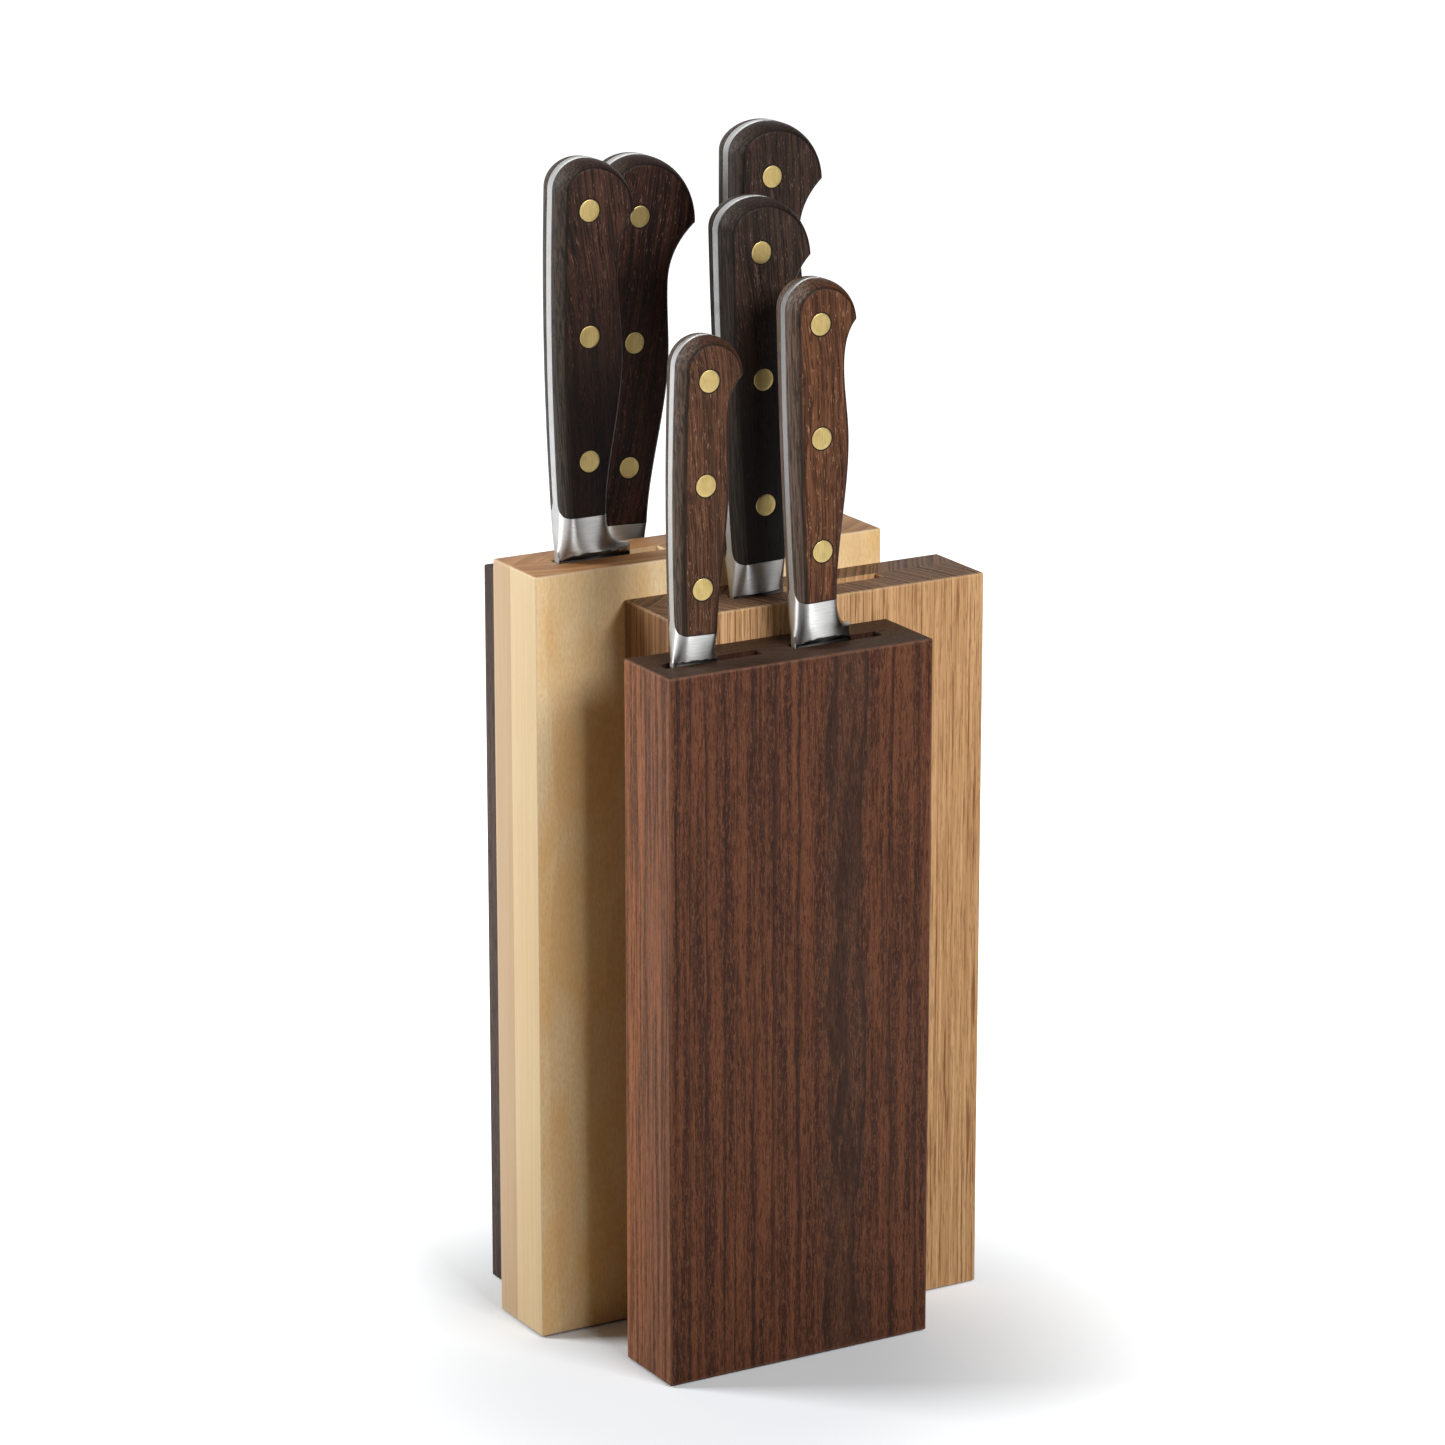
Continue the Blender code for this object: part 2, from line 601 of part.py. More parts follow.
def build_knife(knife):
    """One knife under an empty whose Z axis is the line that it slides out along."""
    holder = bpy.data.objects.new(knife.name + "_slide", None)
    bpy.context.scene.collection.objects.link(holder)
    holder.location = (knife.place - MIDDLE_X, slot_middle(knife.block),
                       top_of(knife.block) + GAP + knife.lift)
    lean = math.radians(knife.lean)
    holder.rotation_euler = (0.0, lean, 0.0)
    # A leaning bolster rests on one side of its undercut, so it stands a little higher.
    holder.location.z += abs(math.sin(lean)) * knife.throat / 2

    steel = finish(knife.name + "_steel", STEEL, 0.28, metallic=1.0)
    wood = finish(knife.name + "_handle_wood", knife.colour, 0.5)
    brass = finish(knife.name + "_brass", BRASS, 0.35, metallic=1.0)
    holes = rivet_hole_tool(knife, knife.name + "_rivet_holes", holder)

    forged = add_object(knife.name + "_forged_blade", bolster_mesh(knife), steel, holder)
    for part_name, mesh in (("tang_plate", tang_mesh(knife)), ("blade_wedge", blade_mesh(knife))):
        piece = as_tool(add_object(f"{knife.name}_{part_name}", mesh, steel, holder))
        combine(forged, piece, "UNION")
    combine(forged, holes, "DIFFERENCE")

    for side, where in ((-1, "front"), (1, "back")):
        scale = add_object(f"{knife.name}_{where}_scale", scale_mesh(knife, side), wood, holder)
        combine(scale, holes, "DIFFERENCE")

    for number, w in enumerate(rivet_heights(knife), 1):
        bm = bmesh.new()
        rod_along_y(bm, RIVET_RADIUS, 2 * half_thickness(knife, w), (0, 0, 0))
        add_object(f"{knife.name}_rivet_{number}", bm, brass, holder, place=(0, 0, w), smooth=True)


clear_scene()
build_boards()
build_dowels()
build_feet()
for each_knife in KNIVES:
    build_knife(each_knife)
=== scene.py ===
"""Looks of a staggered knife block of four woods with six riveted kitchen knives."""
import json
import math

import bmesh
import bpy
from mathutils import Matrix, Vector


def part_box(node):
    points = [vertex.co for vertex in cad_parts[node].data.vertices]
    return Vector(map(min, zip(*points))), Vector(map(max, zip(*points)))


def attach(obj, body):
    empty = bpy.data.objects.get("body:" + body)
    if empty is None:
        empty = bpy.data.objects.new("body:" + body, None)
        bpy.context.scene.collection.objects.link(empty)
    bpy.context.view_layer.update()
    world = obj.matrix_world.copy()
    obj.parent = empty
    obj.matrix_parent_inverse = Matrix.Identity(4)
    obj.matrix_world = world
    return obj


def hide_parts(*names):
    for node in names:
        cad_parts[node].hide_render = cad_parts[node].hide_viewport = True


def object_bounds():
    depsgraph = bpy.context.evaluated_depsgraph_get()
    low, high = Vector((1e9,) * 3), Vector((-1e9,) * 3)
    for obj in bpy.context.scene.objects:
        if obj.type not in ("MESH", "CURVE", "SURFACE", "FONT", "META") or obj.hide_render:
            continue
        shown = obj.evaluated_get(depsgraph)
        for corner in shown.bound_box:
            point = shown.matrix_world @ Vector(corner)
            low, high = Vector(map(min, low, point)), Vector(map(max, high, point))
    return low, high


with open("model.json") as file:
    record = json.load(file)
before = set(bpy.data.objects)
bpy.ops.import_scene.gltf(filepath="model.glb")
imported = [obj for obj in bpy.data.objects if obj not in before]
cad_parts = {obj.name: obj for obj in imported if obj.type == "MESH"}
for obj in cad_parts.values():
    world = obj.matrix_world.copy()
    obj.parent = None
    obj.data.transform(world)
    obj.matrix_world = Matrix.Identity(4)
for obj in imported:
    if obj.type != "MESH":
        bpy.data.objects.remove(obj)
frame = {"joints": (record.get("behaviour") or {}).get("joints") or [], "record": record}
cad_low, cad_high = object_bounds()

# ---- the studio ----
# White paper lies under a white surround.  A wide soft lamp stands in front, a tall one at
# the left and a little behind, and two black flags give the polished steel dark bands.  The
# shadows are filled a little warm.  The camera stands at the front left.
MM = 0.001


class Link:
    """An output socket that takes part in Python maths: an operator adds a Math node."""

    def __init__(self, tree, socket):
        self.tree = tree
        self.socket = socket

    def maths(self, operation, *values):
        return self.tree.node("Math", {"operation": operation}, dict(enumerate((self, *values))))

    def __add__(self, other):
        return self.maths("ADD", other)

    def __sub__(self, other):
        return self.maths("SUBTRACT", other)

    def __rsub__(self, other):
        return self.maths("MULTIPLY", -1.0).maths("ADD", other)

    def __mul__(self, other):
        return self.maths("MULTIPLY", other)

    def __truediv__(self, other):
        return self.maths("DIVIDE", other)

    def __abs__(self):
        return self.maths("ABSOLUTE")

    __radd__ = __add__
    __rmul__ = __mul__

    def smaller(self, other):
        return self.maths("MINIMUM", other)

    def larger(self, other):
        return self.maths("MAXIMUM", other)

    def rise(self, start, end, low=0.0, high=1.0):
        """A smooth step from low to high as the value goes from start to end."""
        return self.tree.node("MapRange", {"interpolation_type": "SMOOTHSTEP"},
                              {"Value": self, "From Min": start, "From Max": end,
                               "To Min": low, "To Max": high})


class Tree:
    """The nodes of one material, or of the surround."""

    def __init__(self, owner):
        owner.use_nodes = True
        self.owner = owner
        self.nodes = owner.node_tree.nodes
        self.links = owner.node_tree.links

    def node(self, kind, settings=None, sockets=None, out=0):
        made = self.nodes.new("ShaderNode" + kind)
        for name, value in (settings or {}).items():
            setattr(made, name, value)
        self.feed(made, sockets or {})
        return Link(self, made.outputs[out])

    def feed(self, node, sockets):
        for key, value in sockets.items():
            socket = node.inputs[key]
            if isinstance(value, Link):
                self.links.new(value.socket, socket)
            elif socket.type == "RGBA":
                socket.default_value = (*value[:3], 1.0)
            else:
                socket.default_value = value

    def mix(self, factor, first, second):
        """Two colours, mixed by a value or a link."""
        return self.node("Mix", {"data_type": "RGBA"}, {0: factor, 6: first, 7: second}, out=2)

    def seen_rays(self):
        """1 for what the camera sees straight, in a mirror or through glass."""
        camera_ray = self.node("LightPath")
        outputs = camera_ray.socket.node.outputs
        return camera_ray.larger(Link(self, outputs["Is Glossy Ray"])).larger(
            Link(self, outputs["Is Transmission Ray"]))

    def place(self):
        """Place on the piece in millimetres."""
        return self.node("VectorMath", {"operation": "SCALE"},
                         {0: self.node("TexCoord", out=3), "Scale": 1 / MM})

    def facing(self):
        """The direction that the surface faces on the piece, as three values."""
        return self.split(self.node("TexCoord", out=1))

    def split(self, vector):
        first = self.node("SeparateXYZ", sockets={0: vector})
        outputs = first.socket.node.outputs
        return first, Link(self, outputs[1]), Link(self, outputs[2])

    def join(self, x, y, z):
        return self.node("CombineXYZ", sockets={0: x, 1: y, 2: z})

    def noise(self, vector, x, y, z, detail=2.0, roughness=0.5, distortion=0.0):
        """Noise with its own number of features per millimetre in each direction."""
        scaled = self.node("VectorMath", {"operation": "MULTIPLY"}, {0: vector, 1: (x, y, z)})
        return self.node("TexNoise", sockets={
            "Vector": scaled, "Scale": 1.0, "Detail": detail, "Roughness": roughness,
            "Distortion": distortion})


class Finish(Tree):
    """A material with one Principled shader."""

    def __init__(self, name, **constants):
        super().__init__(bpy.data.materials.new(name))
        self.shader = self.nodes["Principled BSDF"]
        self.varies(**constants)

    def varies(self, **sockets):
        self.feed(self.shader, {key.replace("_", " "): value for key, value in sockets.items()})

    def layers(self, colour, *coats):
        """A colour with coats laid over it in turn, each a share and a tone."""
        for share, tone in coats:
            colour = self.mix(share, colour, tone)
        return colour

    def relief(self, height, depth, strength=0.6):
        """Bumps of a given depth in metres from a 0 to 1 height."""
        self.varies(Normal=self.node("Bump", sockets={
            "Strength": strength, "Distance": depth, "Height": height}))


FLOOR_COLOUR = (0.825, 0.86, 0.895)
FLOOR_BOUNCE = (0.30, 0.25, 0.18)  # what the paper throws back up at the wood
FLOOR_REACH = 6.0
FAR_GLOW = 0.97  # lifts the paper to white where the lamps hardly reach
DEEPEST_SHADOW = (-0.047, -0.050, 0.0)
SHADOW_REACH = (0.05, 0.25)  # the glow sets in so far from there, and is full so far off
SURROUND_FILL = 0.10  # light from all round on the object
FILL_COLOUR = (1.0, 0.84, 0.66)  # a little warm, as from a wooden studio

surround = Tree(bpy.data.worlds.new("surround"))
bpy.context.scene.world = surround.owner
shows = surround.seen_rays()
surround.feed(surround.nodes["Background"], {
    "Color": surround.mix(shows, FILL_COLOUR, (1.0, 1.0, 1.0)),
    "Strength": shows * (1.0 - SURROUND_FILL) + SURROUND_FILL})


def new_object(name, data):
    made = bpy.data.objects.new(name, data)
    bpy.context.scene.collection.objects.link(made)
    return made


def new_mesh(name, bm):
    data = bpy.data.meshes.new(name)
    bm.to_mesh(data)
    bm.free()
    return data


floor_sheet = bmesh.new()
bmesh.ops.create_grid(floor_sheet, x_segments=1, y_segments=1, size=FLOOR_REACH)
floor = new_object("paper_floor", new_mesh("paper_floor", floor_sheet))
paper = Tree(bpy.data.materials.new("paper"))
paper.nodes.remove(paper.nodes["Principled BSDF"])
shows = paper.seen_rays()
away = paper.node("VectorMath", {"operation": "DISTANCE"},
                  {0: paper.node("TexCoord", out=3), 1: DEEPEST_SHADOW}, out=1)
glow = paper.node("Emission", sockets={
    "Strength": shows * away.rise(*SHADOW_REACH, high=FAR_GLOW)})
matt = paper.node("BsdfDiffuse",
                  sockets={"Color": paper.mix(shows, FLOOR_BOUNCE, FLOOR_COLOUR)})
paper.feed(paper.nodes["Material Output"],
           {"Surface": paper.node("AddShader", sockets={0: matt, 1: glow})})
floor.data.materials.append(paper.owner)


def aim(tool, turn, tilt):
    """Turns a lamp or camera to look back from a direction, which it returns."""
    away = Vector((math.sin(turn) * math.cos(tilt), -math.cos(turn) * math.cos(tilt),
                   math.sin(tilt)))
    tool.rotation_mode = "QUATERNION"
    tool.rotation_quaternion = away.to_track_quat("Z", "Y")
    return away


def soft_lamp(name, azimuth, elevation, distance, width, height, power):
    """A soft box aimed at the middle of the stack; azimuth 0 is straight in front."""
    lamp = bpy.data.lights.new(name, "AREA")
    lamp.shape = "RECTANGLE"
    lamp.size, lamp.size_y = width, height
    lamp.energy = power
    box = new_object(name, lamp)
    away = aim(box, math.radians(azimuth), math.radians(elevation))
    box.location = Vector((0.0, 0.0, cad_high.z / 2)) + away * distance


soft_lamp("front_softbox", azimuth=9, elevation=32, distance=1.6,
          width=0.82, height=0.55, power=22.5)
soft_lamp("left_strip", azimuth=-124, elevation=27, distance=1.5,
          width=0.5, height=1.0, power=22.5)


def black_flag(name, azimuth, distance, width, height):
    """A black board beside the set, which only polished surfaces mirror."""
    turn = math.radians(azimuth)
    middle = Vector((math.sin(turn), -math.cos(turn), 0.0)) * distance
    along = Vector((math.cos(turn), math.sin(turn), 0.0)) * width / 2
    up = Vector((0, 0, height))
    cloth = bmesh.new()
    corners = [middle - along, middle + along, middle + along + up, middle - along + up]
    cloth.faces.new([cloth.verts.new(corner) for corner in corners])
    flag = new_object(name, new_mesh(name, cloth))
    flag.data.materials.append(Finish(name, Base_Color=(0.012, 0.012, 0.012), Roughness=1.0,
                                      Specular_IOR_Level=0.0).owner)
    flag.visible_camera = flag.visible_diffuse = False
    flag.visible_shadow = flag.visible_transmission = False


black_flag("right_flag", azimuth=88, distance=0.9, width=1.5, height=1.3)
black_flag("left_flag", azimuth=-62, distance=1.1, width=0.6, height=1.3)

CAMERA_TURN = -0.5259  # radians; to the left of straight in front
CAMERA_TILT = 0.2814  # radians; looking down
CAMERA_PLACE = (-0.9185563, -1.571006, 0.729198)
CAMERA_LENS = 142.76  # millimetres, on a 36 mm sensor
camera = new_object("camera", bpy.data.cameras.new("camera"))
camera.data.lens = CAMERA_LENS
camera.location = CAMERA_PLACE
aim(camera, CAMERA_TURN, CAMERA_TILT)
bpy.context.scene.camera = camera
bpy.context.scene.view_settings.view_transform = "Standard"

# ---- the boards ----
# Eight planed boards, glued in pairs so that the slots milled into the back of each
# front board are closed.  The outer edges are eased and the slots' mouths chamfered.
ARRIS = 0.6 * MM
ARRIS_STEPS = 3
GLUE_LINE = 0.13 * MM  # how far a board reaches towards its glued neighbour
MOUTH_CHAMFER = 0.35 * MM
SLOT_THICK = 5.0 * MM
SLOT_SPARE = 0.6 * MM  # free width behind the bolster's spine side
SLOT_END_SPARE = 0.1 * MM  # and past the opening at the other end
BLOCK_SHARP = 31.0  # degrees; chamfers stay crisp and eased edges smooth
FIT = 0.3 * MM  # clearance where one part slides in another


class Knife:
    """Sizes of one knife in metres, from its rivet line (u) and its bolster's foot (w)."""

    def __init__(self, name, block, thick, tang, spine, crown, beak, waist, swell, throat,
                 ledge, heel, rivets, blade, serrated=False, undercut=1.0):
        self.name, self.block, self.serrated = name, block, serrated
        self.undercut = undercut * MM
        self.thick, self.tang, self.crown = thick * MM, tang * MM, crown * MM
        self.throat, self.ledge = throat * MM, ledge * MM
        self.spine, self.heel, self.blade = [
            [size * MM for size in sizes] for sizes in (spine, heel, blade)]
        self.beak, self.waist, self.swell = [
            (u * MM, share * self.crown) for u, share in (beak, waist, swell)]
        self.rivet_heights = [(rivets[0] + rivets[1] * i) * self.crown for i in range(3)]
        joint = [j for j in frame["joints"] if j["child"] == name + "_knife"][0]
        self.axis = Vector(joint["axis"]).normalized()
        low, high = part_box(name + "_rivet_1")
        self.foot = (low + high) / 2 - self.axis * self.rivet_heights[0]
        lean = math.atan2(self.axis.x, self.axis.z)
        self.frame = Matrix.Translation(self.foot) @ Matrix.Rotation(lean, 4, "Y")

    def slot(self):
        """Low and high corners of the slot that holds this knife."""
        board_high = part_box(self.block + "_front_board")[1]
        drift = max(self.axis.x / self.axis.z * self.blade[0], 0.0)
        opening = [o for o in frame["record"]["physics"]["openings"]
                   if o["name"] == self.name + "_slot"][0]
        low = Vector((self.foot.x - self.spine[0] - drift - SLOT_SPARE,
                      board_high.y - SLOT_THICK, opening["box_m"][0][2] - FIT))
        high = Vector((opening["box_m"][1][0] + SLOT_END_SPARE, board_high.y, board_high.z))
        return low, high


KNIVES = [
    Knife("santoku", "beech", 17.0, 3.5, (8.7, 10.6, 10.0), 132.0, (18.6, 0.8606), (12.4, 0.7250),
          (14.2, 0.5053), 8.0, 15.2, (18.4, 3.0), (0.2553, 0.3117), (170.0, 32.0), undercut=3.0),
    Knife("bread", "smoked", 17.0, 3.5, (9.5, 11.8, 12.0), 135.1, (23.2, 0.8275), (13.8, 0.6899),
          (15.3, 0.4900), 9.6, 12.2, (10.6, 1.4), (0.2339, 0.3109), (225.0, 29.0), serrated=True),
    Knife("carving", "beech", 17.0, 3.5, (9.8, 12.4, 12.8), 132.9, (21.2, 0.8457), (12.9, 0.7261),
          (14.8, 0.5041), 9.0, 12.0, (9.8, 1.4), (0.2423, 0.3138), (230.0, 28.0)),
    Knife("cook", "oak", 17.0, 3.5, (9.7, 11.8, 12.2), 131.3, (20.6, 0.8408), (12.9, 0.7197),
          (14.8, 0.5065), 9.0, 11.7, (9.6, 1.4), (0.2353, 0.3176), (200.0, 42.0)),
    Knife("paring", "walnut", 14.2, 3.0, (7.3, 9.3, 9.6), 106.0, (14.2, 0.8717), (9.4, 0.7472),
          (10.4, 0.5396), 7.6, 9.7, (9.0, 1.4), (0.2340, 0.3179), (90.0, 18.5)),
    Knife("utility", "walnut", 15.4, 3.0, (7.8, 9.3, 9.6), 120.0, (15.5, 0.8775), (10.8, 0.7525),
          (12.2, 0.5600), 7.1, 14.9, (13.4, 4.6), (0.2642, 0.3104), (160.0, 24.0), undercut=2.9),
]


def add_piece(name, bm, material, matrix=None, sharp=35.0):
    """A new object from a bmesh, smooth except over edges sharper than the angle."""
    bmesh.ops.recalc_face_normals(bm, faces=bm.faces)
    piece = new_object(name, new_mesh(name, bm))
    piece.data.shade_smooth()
    piece.data.set_sharp_from_angle(angle=math.radians(sharp))
    if material:
        piece.data.materials.append(material)
    if matrix:
        piece.matrix_world = matrix
    return piece


def skin(bm, rings, close_last=True):
    """Skin over closed rings with the same number of points."""
    loops = [[bm.verts.new(point) for point in ring] for ring in rings]
    count = len(loops[0])
    for lower, upper in zip(loops, loops[1:]):
        for i in range(count):
            j = (i + 1) % count
            bm.faces.new((lower[i], lower[j], upper[j], upper[i]))
    bm.faces.new(loops[0])
    if close_last:
        bm.faces.new(loops[-1])


def level_rectangle(low, high, z, grow=0.0):
    return [(low.x - grow, low.y - grow, z), (high.x + grow, low.y - grow, z),
            (high.x + grow, high.y + grow, z), (low.x - grow, high.y + grow, z)]


def block_box(block):
    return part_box(block + "_front_board")[0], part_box(block + "_back_board")[1]


def build_board(block, side, finish):
    """One board in place of its solid; side is front or back."""
    node = f"{block}_{side}_board"
    low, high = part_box(node)
    glued = 1 if side == "front" else -1
    reach_low = 0.0 if low.y < block_box("walnut")[0].y + GLUE_LINE else GLUE_LINE
    reach_high = 0.0 if high.y > block_box("smoked")[1].y - GLUE_LINE else GLUE_LINE
    low, high = low - Vector((0, reach_low, 0)), high + Vector((0, reach_high, 0))
    bm = bmesh.new()
    skin(bm, [level_rectangle(low, high, low.z), level_rectangle(low, high, high.z)])
    bmesh.ops.recalc_face_normals(bm, faces=bm.faces)
    joint = [f for f in bm.faces if f.normal.y * glued > 0.9][0]
    outer = [e for e in bm.edges if joint not in e.link_faces]
    bmesh.ops.bevel(bm, geom=outer, offset=ARRIS, segments=ARRIS_STEPS, affect="EDGES",
                    profile=0.5)
    board = add_piece(node.replace("board", "plank"), bm, finish)
    cutters = []
    for knife in KNIVES:
        if knife.block == block and side == "front":
            slot = knife.slot()
            slot[1].y += 2 * GLUE_LINE
            tool = bmesh.new()
            skin(tool, [level_rectangle(*slot, slot[0].z),
                        level_rectangle(*slot, high.z - MOUTH_CHAMFER),
                        level_rectangle(*slot, high.z + MM, grow=MOUTH_CHAMFER + MM)])
            cutter = add_piece(knife.name + "_slot_cutter", tool, None)
            cut = board.modifiers.new("slot", "BOOLEAN")
            cut.object, cut.operation, cut.solver = cutter, "DIFFERENCE", "EXACT"
            cutters.append(cutter)
    graph = bpy.context.evaluated_depsgraph_get()
    cut_mesh = bpy.data.meshes.new_from_object(board.evaluated_get(graph))
    board.modifiers.clear()
    board.data = cut_mesh
    board.data.shade_smooth()
    board.data.set_sharp_from_angle(angle=math.radians(BLOCK_SHARP))
    for cutter in cutters:
        bpy.data.objects.remove(cutter)
    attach(board, "stack")
    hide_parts(node)


def dim(tone, share):
    return [part * share for part in tone]


class Timber(Finish):
    """Wood with its grain running up; its features are counted per millimetre."""

    def __init__(self, name, gloss):
        super().__init__(name, Specular_IOR_Level=gloss)
        self.spot = self.place()

    def grain(self, across, along, detail=2.0, roughness=0.5, distortion=0.0):
        return self.noise(self.spot, across, across, along, detail, roughness, distortion)

    def growth(self, pith, wander, across=0.014, along=0.004):
        """Distance from the tree's pith, wandering along the trunk."""
        drift = self.grain(across, along)
        x, y, z = self.split(self.spot)
        aside, deep = x - pith[0], y - pith[1]
        return (aside * aside + deep * deep).maths("SQRT") + (drift - 0.5) * wander

    def rings(self, radius, pitch, uneven, late):
        """Growth rings: 0 in early wood, rising to 1 in the late wood of each year."""
        slow = self.node("TexNoise", {"noise_dimensions": "1D"},
                         {"W": radius / (pitch * 3.1), "Scale": 1.0, "Detail": 1.0})
        year = (radius / pitch + (slow - 0.5) * uneven).maths("FRACT")
        return year.rise(*late) * year.rise(1.0, 0.95)

    def sides_and_ends(self):
        """1 on the left and right sides, and 1 on the end grain."""
        x, y, z = self.facing()
        return abs(x).rise(0.6, 0.9), abs(z).rise(0.6, 0.9)

    def depths(self, block):
        """How far inside a block a place is, in millimetres: sideways, front to back, up."""
        return [(part - low / MM).smaller(high / MM - part)
                for part, low, high in zip(self.split(self.spot), *block_box(block))]

    def worn_and_highlit_arrises(self, block):
        """1 on the outer edges of a block, fading to 0 within a millimetre: there the wood is
        painted paler, partly as wear and partly as painted highlight.
        """
        a, b, c = self.depths(block)
        return a.smaller(b).larger(a.larger(b).smaller(c)).rise(1.1, 1.1 * 0.3)


# ---- the walnut block ----
# The front block is American walnut, flat-sawn and oiled: red-brown with darker wavy
# bands and short pale flecks, and nearly black-brown on its end grain.
def walnut(name, pith, heart, side_tone):
    wood = Timber(name, gloss=0.14)
    ragged = (wood.growth(pith, wander=1.6)
              + (wood.grain(0.9, 0.14, detail=3.0, roughness=0.7) - 0.5) * 0.8
              + (wood.grain(0.16, 0.022) - 0.5) * 2.6)
    strength = wood.grain(0.10, 0.008, detail=1.0).rise(0.36, 0.56, 0.35)
    rings = wood.rings(ragged - heart + 0.2, pitch=4.3, uneven=1.6, late=(0.74, 0.97)) * strength
    heartwood = ragged.rise(heart + 0.15, heart - 0.15)
    streaks = wood.grain(0.45, 0.012, detail=3.0, roughness=0.65)
    flecks = wood.grain(2.2, 0.40, roughness=0.8).rise(0.47, 0.62)
    pores = wood.grain(2.2, 0.26, roughness=0.7).rise(0.53, 0.62)
    dots = wood.grain(3.0, 0.5).rise(0.50, 0.66)
    sides, ends = wood.sides_and_ends()
    from_end, from_face = wood.depths("walnut")[:2]
    face = wood.layers(
        wood.mix(streaks.rise(0.38, 0.62), (0.036, 0.0115, 0.0066), (0.128, 0.0465, 0.0240)),
        (heartwood * 0.75, (0.056, 0.027, 0.018)),
        (flecks * 0.55, (0.190, 0.080, 0.043)),
        (rings * 0.85, (0.020, 0.008, 0.005)),
        (pores * 0.62, (0.022, 0.008, 0.005)))
    # Painted sheen: the side faces are paler than the front, partly from their own sawn grain and
    # partly as painted light of the left lamp.
    side = wood.layers(
        wood.mix(streaks.rise(0.40, 0.58), dim(side_tone, 0.28), dim(side_tone, 1.10)),
        (flecks * 0.35, dim(side_tone, 1.5)),
        (rings * 0.75, dim(side_tone, 0.40)),
        (pores * 0.45, dim(side_tone, 0.35)))
    cut = wood.mix(rings, (0.042, 0.0215, 0.0125), (0.008, 0.0043, 0.003))
    # Painted shade: the slot walls inside the board are darkened, as the shade down in the slots.
    inside = from_end.smaller(from_face).rise(1.5, 2.5)
    # Paler edges: partly wear, partly painted highlight on the eased arris.
    wear_and_highlight = wood.worn_and_highlit_arrises("walnut") * streaks.rise(0.25, 0.6, 0.4)
    colour = wood.layers(
        face,
        # painted shade on the slot walls
        (inside * 0.7, (0.016, 0.007, 0.004)),
        # the paler sides, partly painted sheen
        (sides * from_end.rise(3.0, 1.5), side),
        (ends, wood.mix(dots * 0.5, cut, (0.076, 0.042, 0.025))),
        (wear_and_highlight * 0.40, (0.27, 0.135, 0.085)))
    wood.varies(Base_Color=colour, Roughness=0.46 + pores * 0.2 + streaks * 0.12)
    wood.relief(streaks * 0.35 + flecks * 0.2 - pores * 0.8 - rings * 0.2, depth=0.06 * MM)
    return wood.owner


build_board("walnut", "front", walnut("walnut_face_board", pith=(6.0, -18.0), heart=41.4,
                                      side_tone=(0.245, 0.100, 0.052)))
build_board("walnut", "back", walnut("walnut_backing", pith=(-30.0, -110.0), heart=20.0,
                                     side_tone=(0.285, 0.112, 0.053)))


# ---- the oak block ----
# The second block is rift-sawn white oak: straight, close rings that show as fine dark
# lines, open pores and, on the end grain, pale rays that cross the rings.
def oak(name, pith):
    wood = Timber(name, gloss=0.16)
    radius = wood.growth(pith, wander=3.2, across=0.02, along=0.005)
    rings = wood.rings(radius, pitch=2.1, uneven=2.4, late=(0.30, 0.90))
    streaks = wood.grain(0.75, 0.010, detail=3.0, roughness=0.7)
    lines = wood.grain(1.6, 0.026, detail=3.0, roughness=0.7).rise(0.52, 0.62)
    grouped = lines * wood.grain(0.16, 0.010, detail=1.0).rise(0.40, 0.56, 0.30)
    pores = wood.grain(1.9, 0.13, roughness=0.7).rise(0.53, 0.66)
    dots = wood.grain(3.4, 0.5, detail=1.0).rise(0.52, 0.62)
    x, y, z = wood.split(wood.spot)
    angle = (y - pith[1]).maths("ARCTAN2", x - pith[0])
    rays = wood.noise(wood.join(angle * 260.0, radius * 0.35, z * 0.10), 1.0, 1.0, 1.0,
                      detail=1.0).rise(0.56, 0.70)
    sides, ends = wood.sides_and_ends()
    # Painted shade: the sides are a darker brown than the face, as the shade they stand in.
    brown = wood.mix(streaks.rise(0.34, 0.66), (0.11, 0.046, 0.020), (0.35, 0.175, 0.084))
    cut = wood.layers(
        wood.mix(rings, (0.235, 0.130, 0.072), (0.066, 0.033, 0.019)),
        (rays * 0.6, (0.26, 0.150, 0.088)),
        (dots * 0.5, (0.055, 0.029, 0.018)))
    # Paler edges: partly wear, partly painted highlight on the eased arris.
    wear_and_highlight = wood.worn_and_highlit_arrises("oak") * streaks.rise(0.25, 0.6, 0.4)
    colour = wood.layers(
        wood.mix(streaks.rise(0.30, 0.70), (0.52, 0.285, 0.128), (0.74, 0.465, 0.238)),
        (rings * 0.40, (0.36, 0.18, 0.075)),
        (grouped * 0.88, (0.20, 0.083, 0.031)),
        (pores * 0.42, (0.20, 0.088, 0.037)),
        # the darker sides, painted shade over the ring grain
        (sides * 0.85, wood.mix(rings * 0.6, brown, (0.11, 0.052, 0.026))),
        (ends, cut),
        (wear_and_highlight * 0.4, (0.72, 0.49, 0.28)))
    wood.varies(Base_Color=colour, Roughness=0.52 + pores * 0.2 + streaks * 0.10)
    wood.relief(streaks * 0.3 - grouped * 0.5 - pores * 0.7, depth=0.07 * MM)
    return wood.owner


build_board("oak", "front", oak("oak_face_board", pith=(-190.0, -90.0)))
build_board("oak", "back", oak("oak_backing", pith=(-150.0, 120.0)))


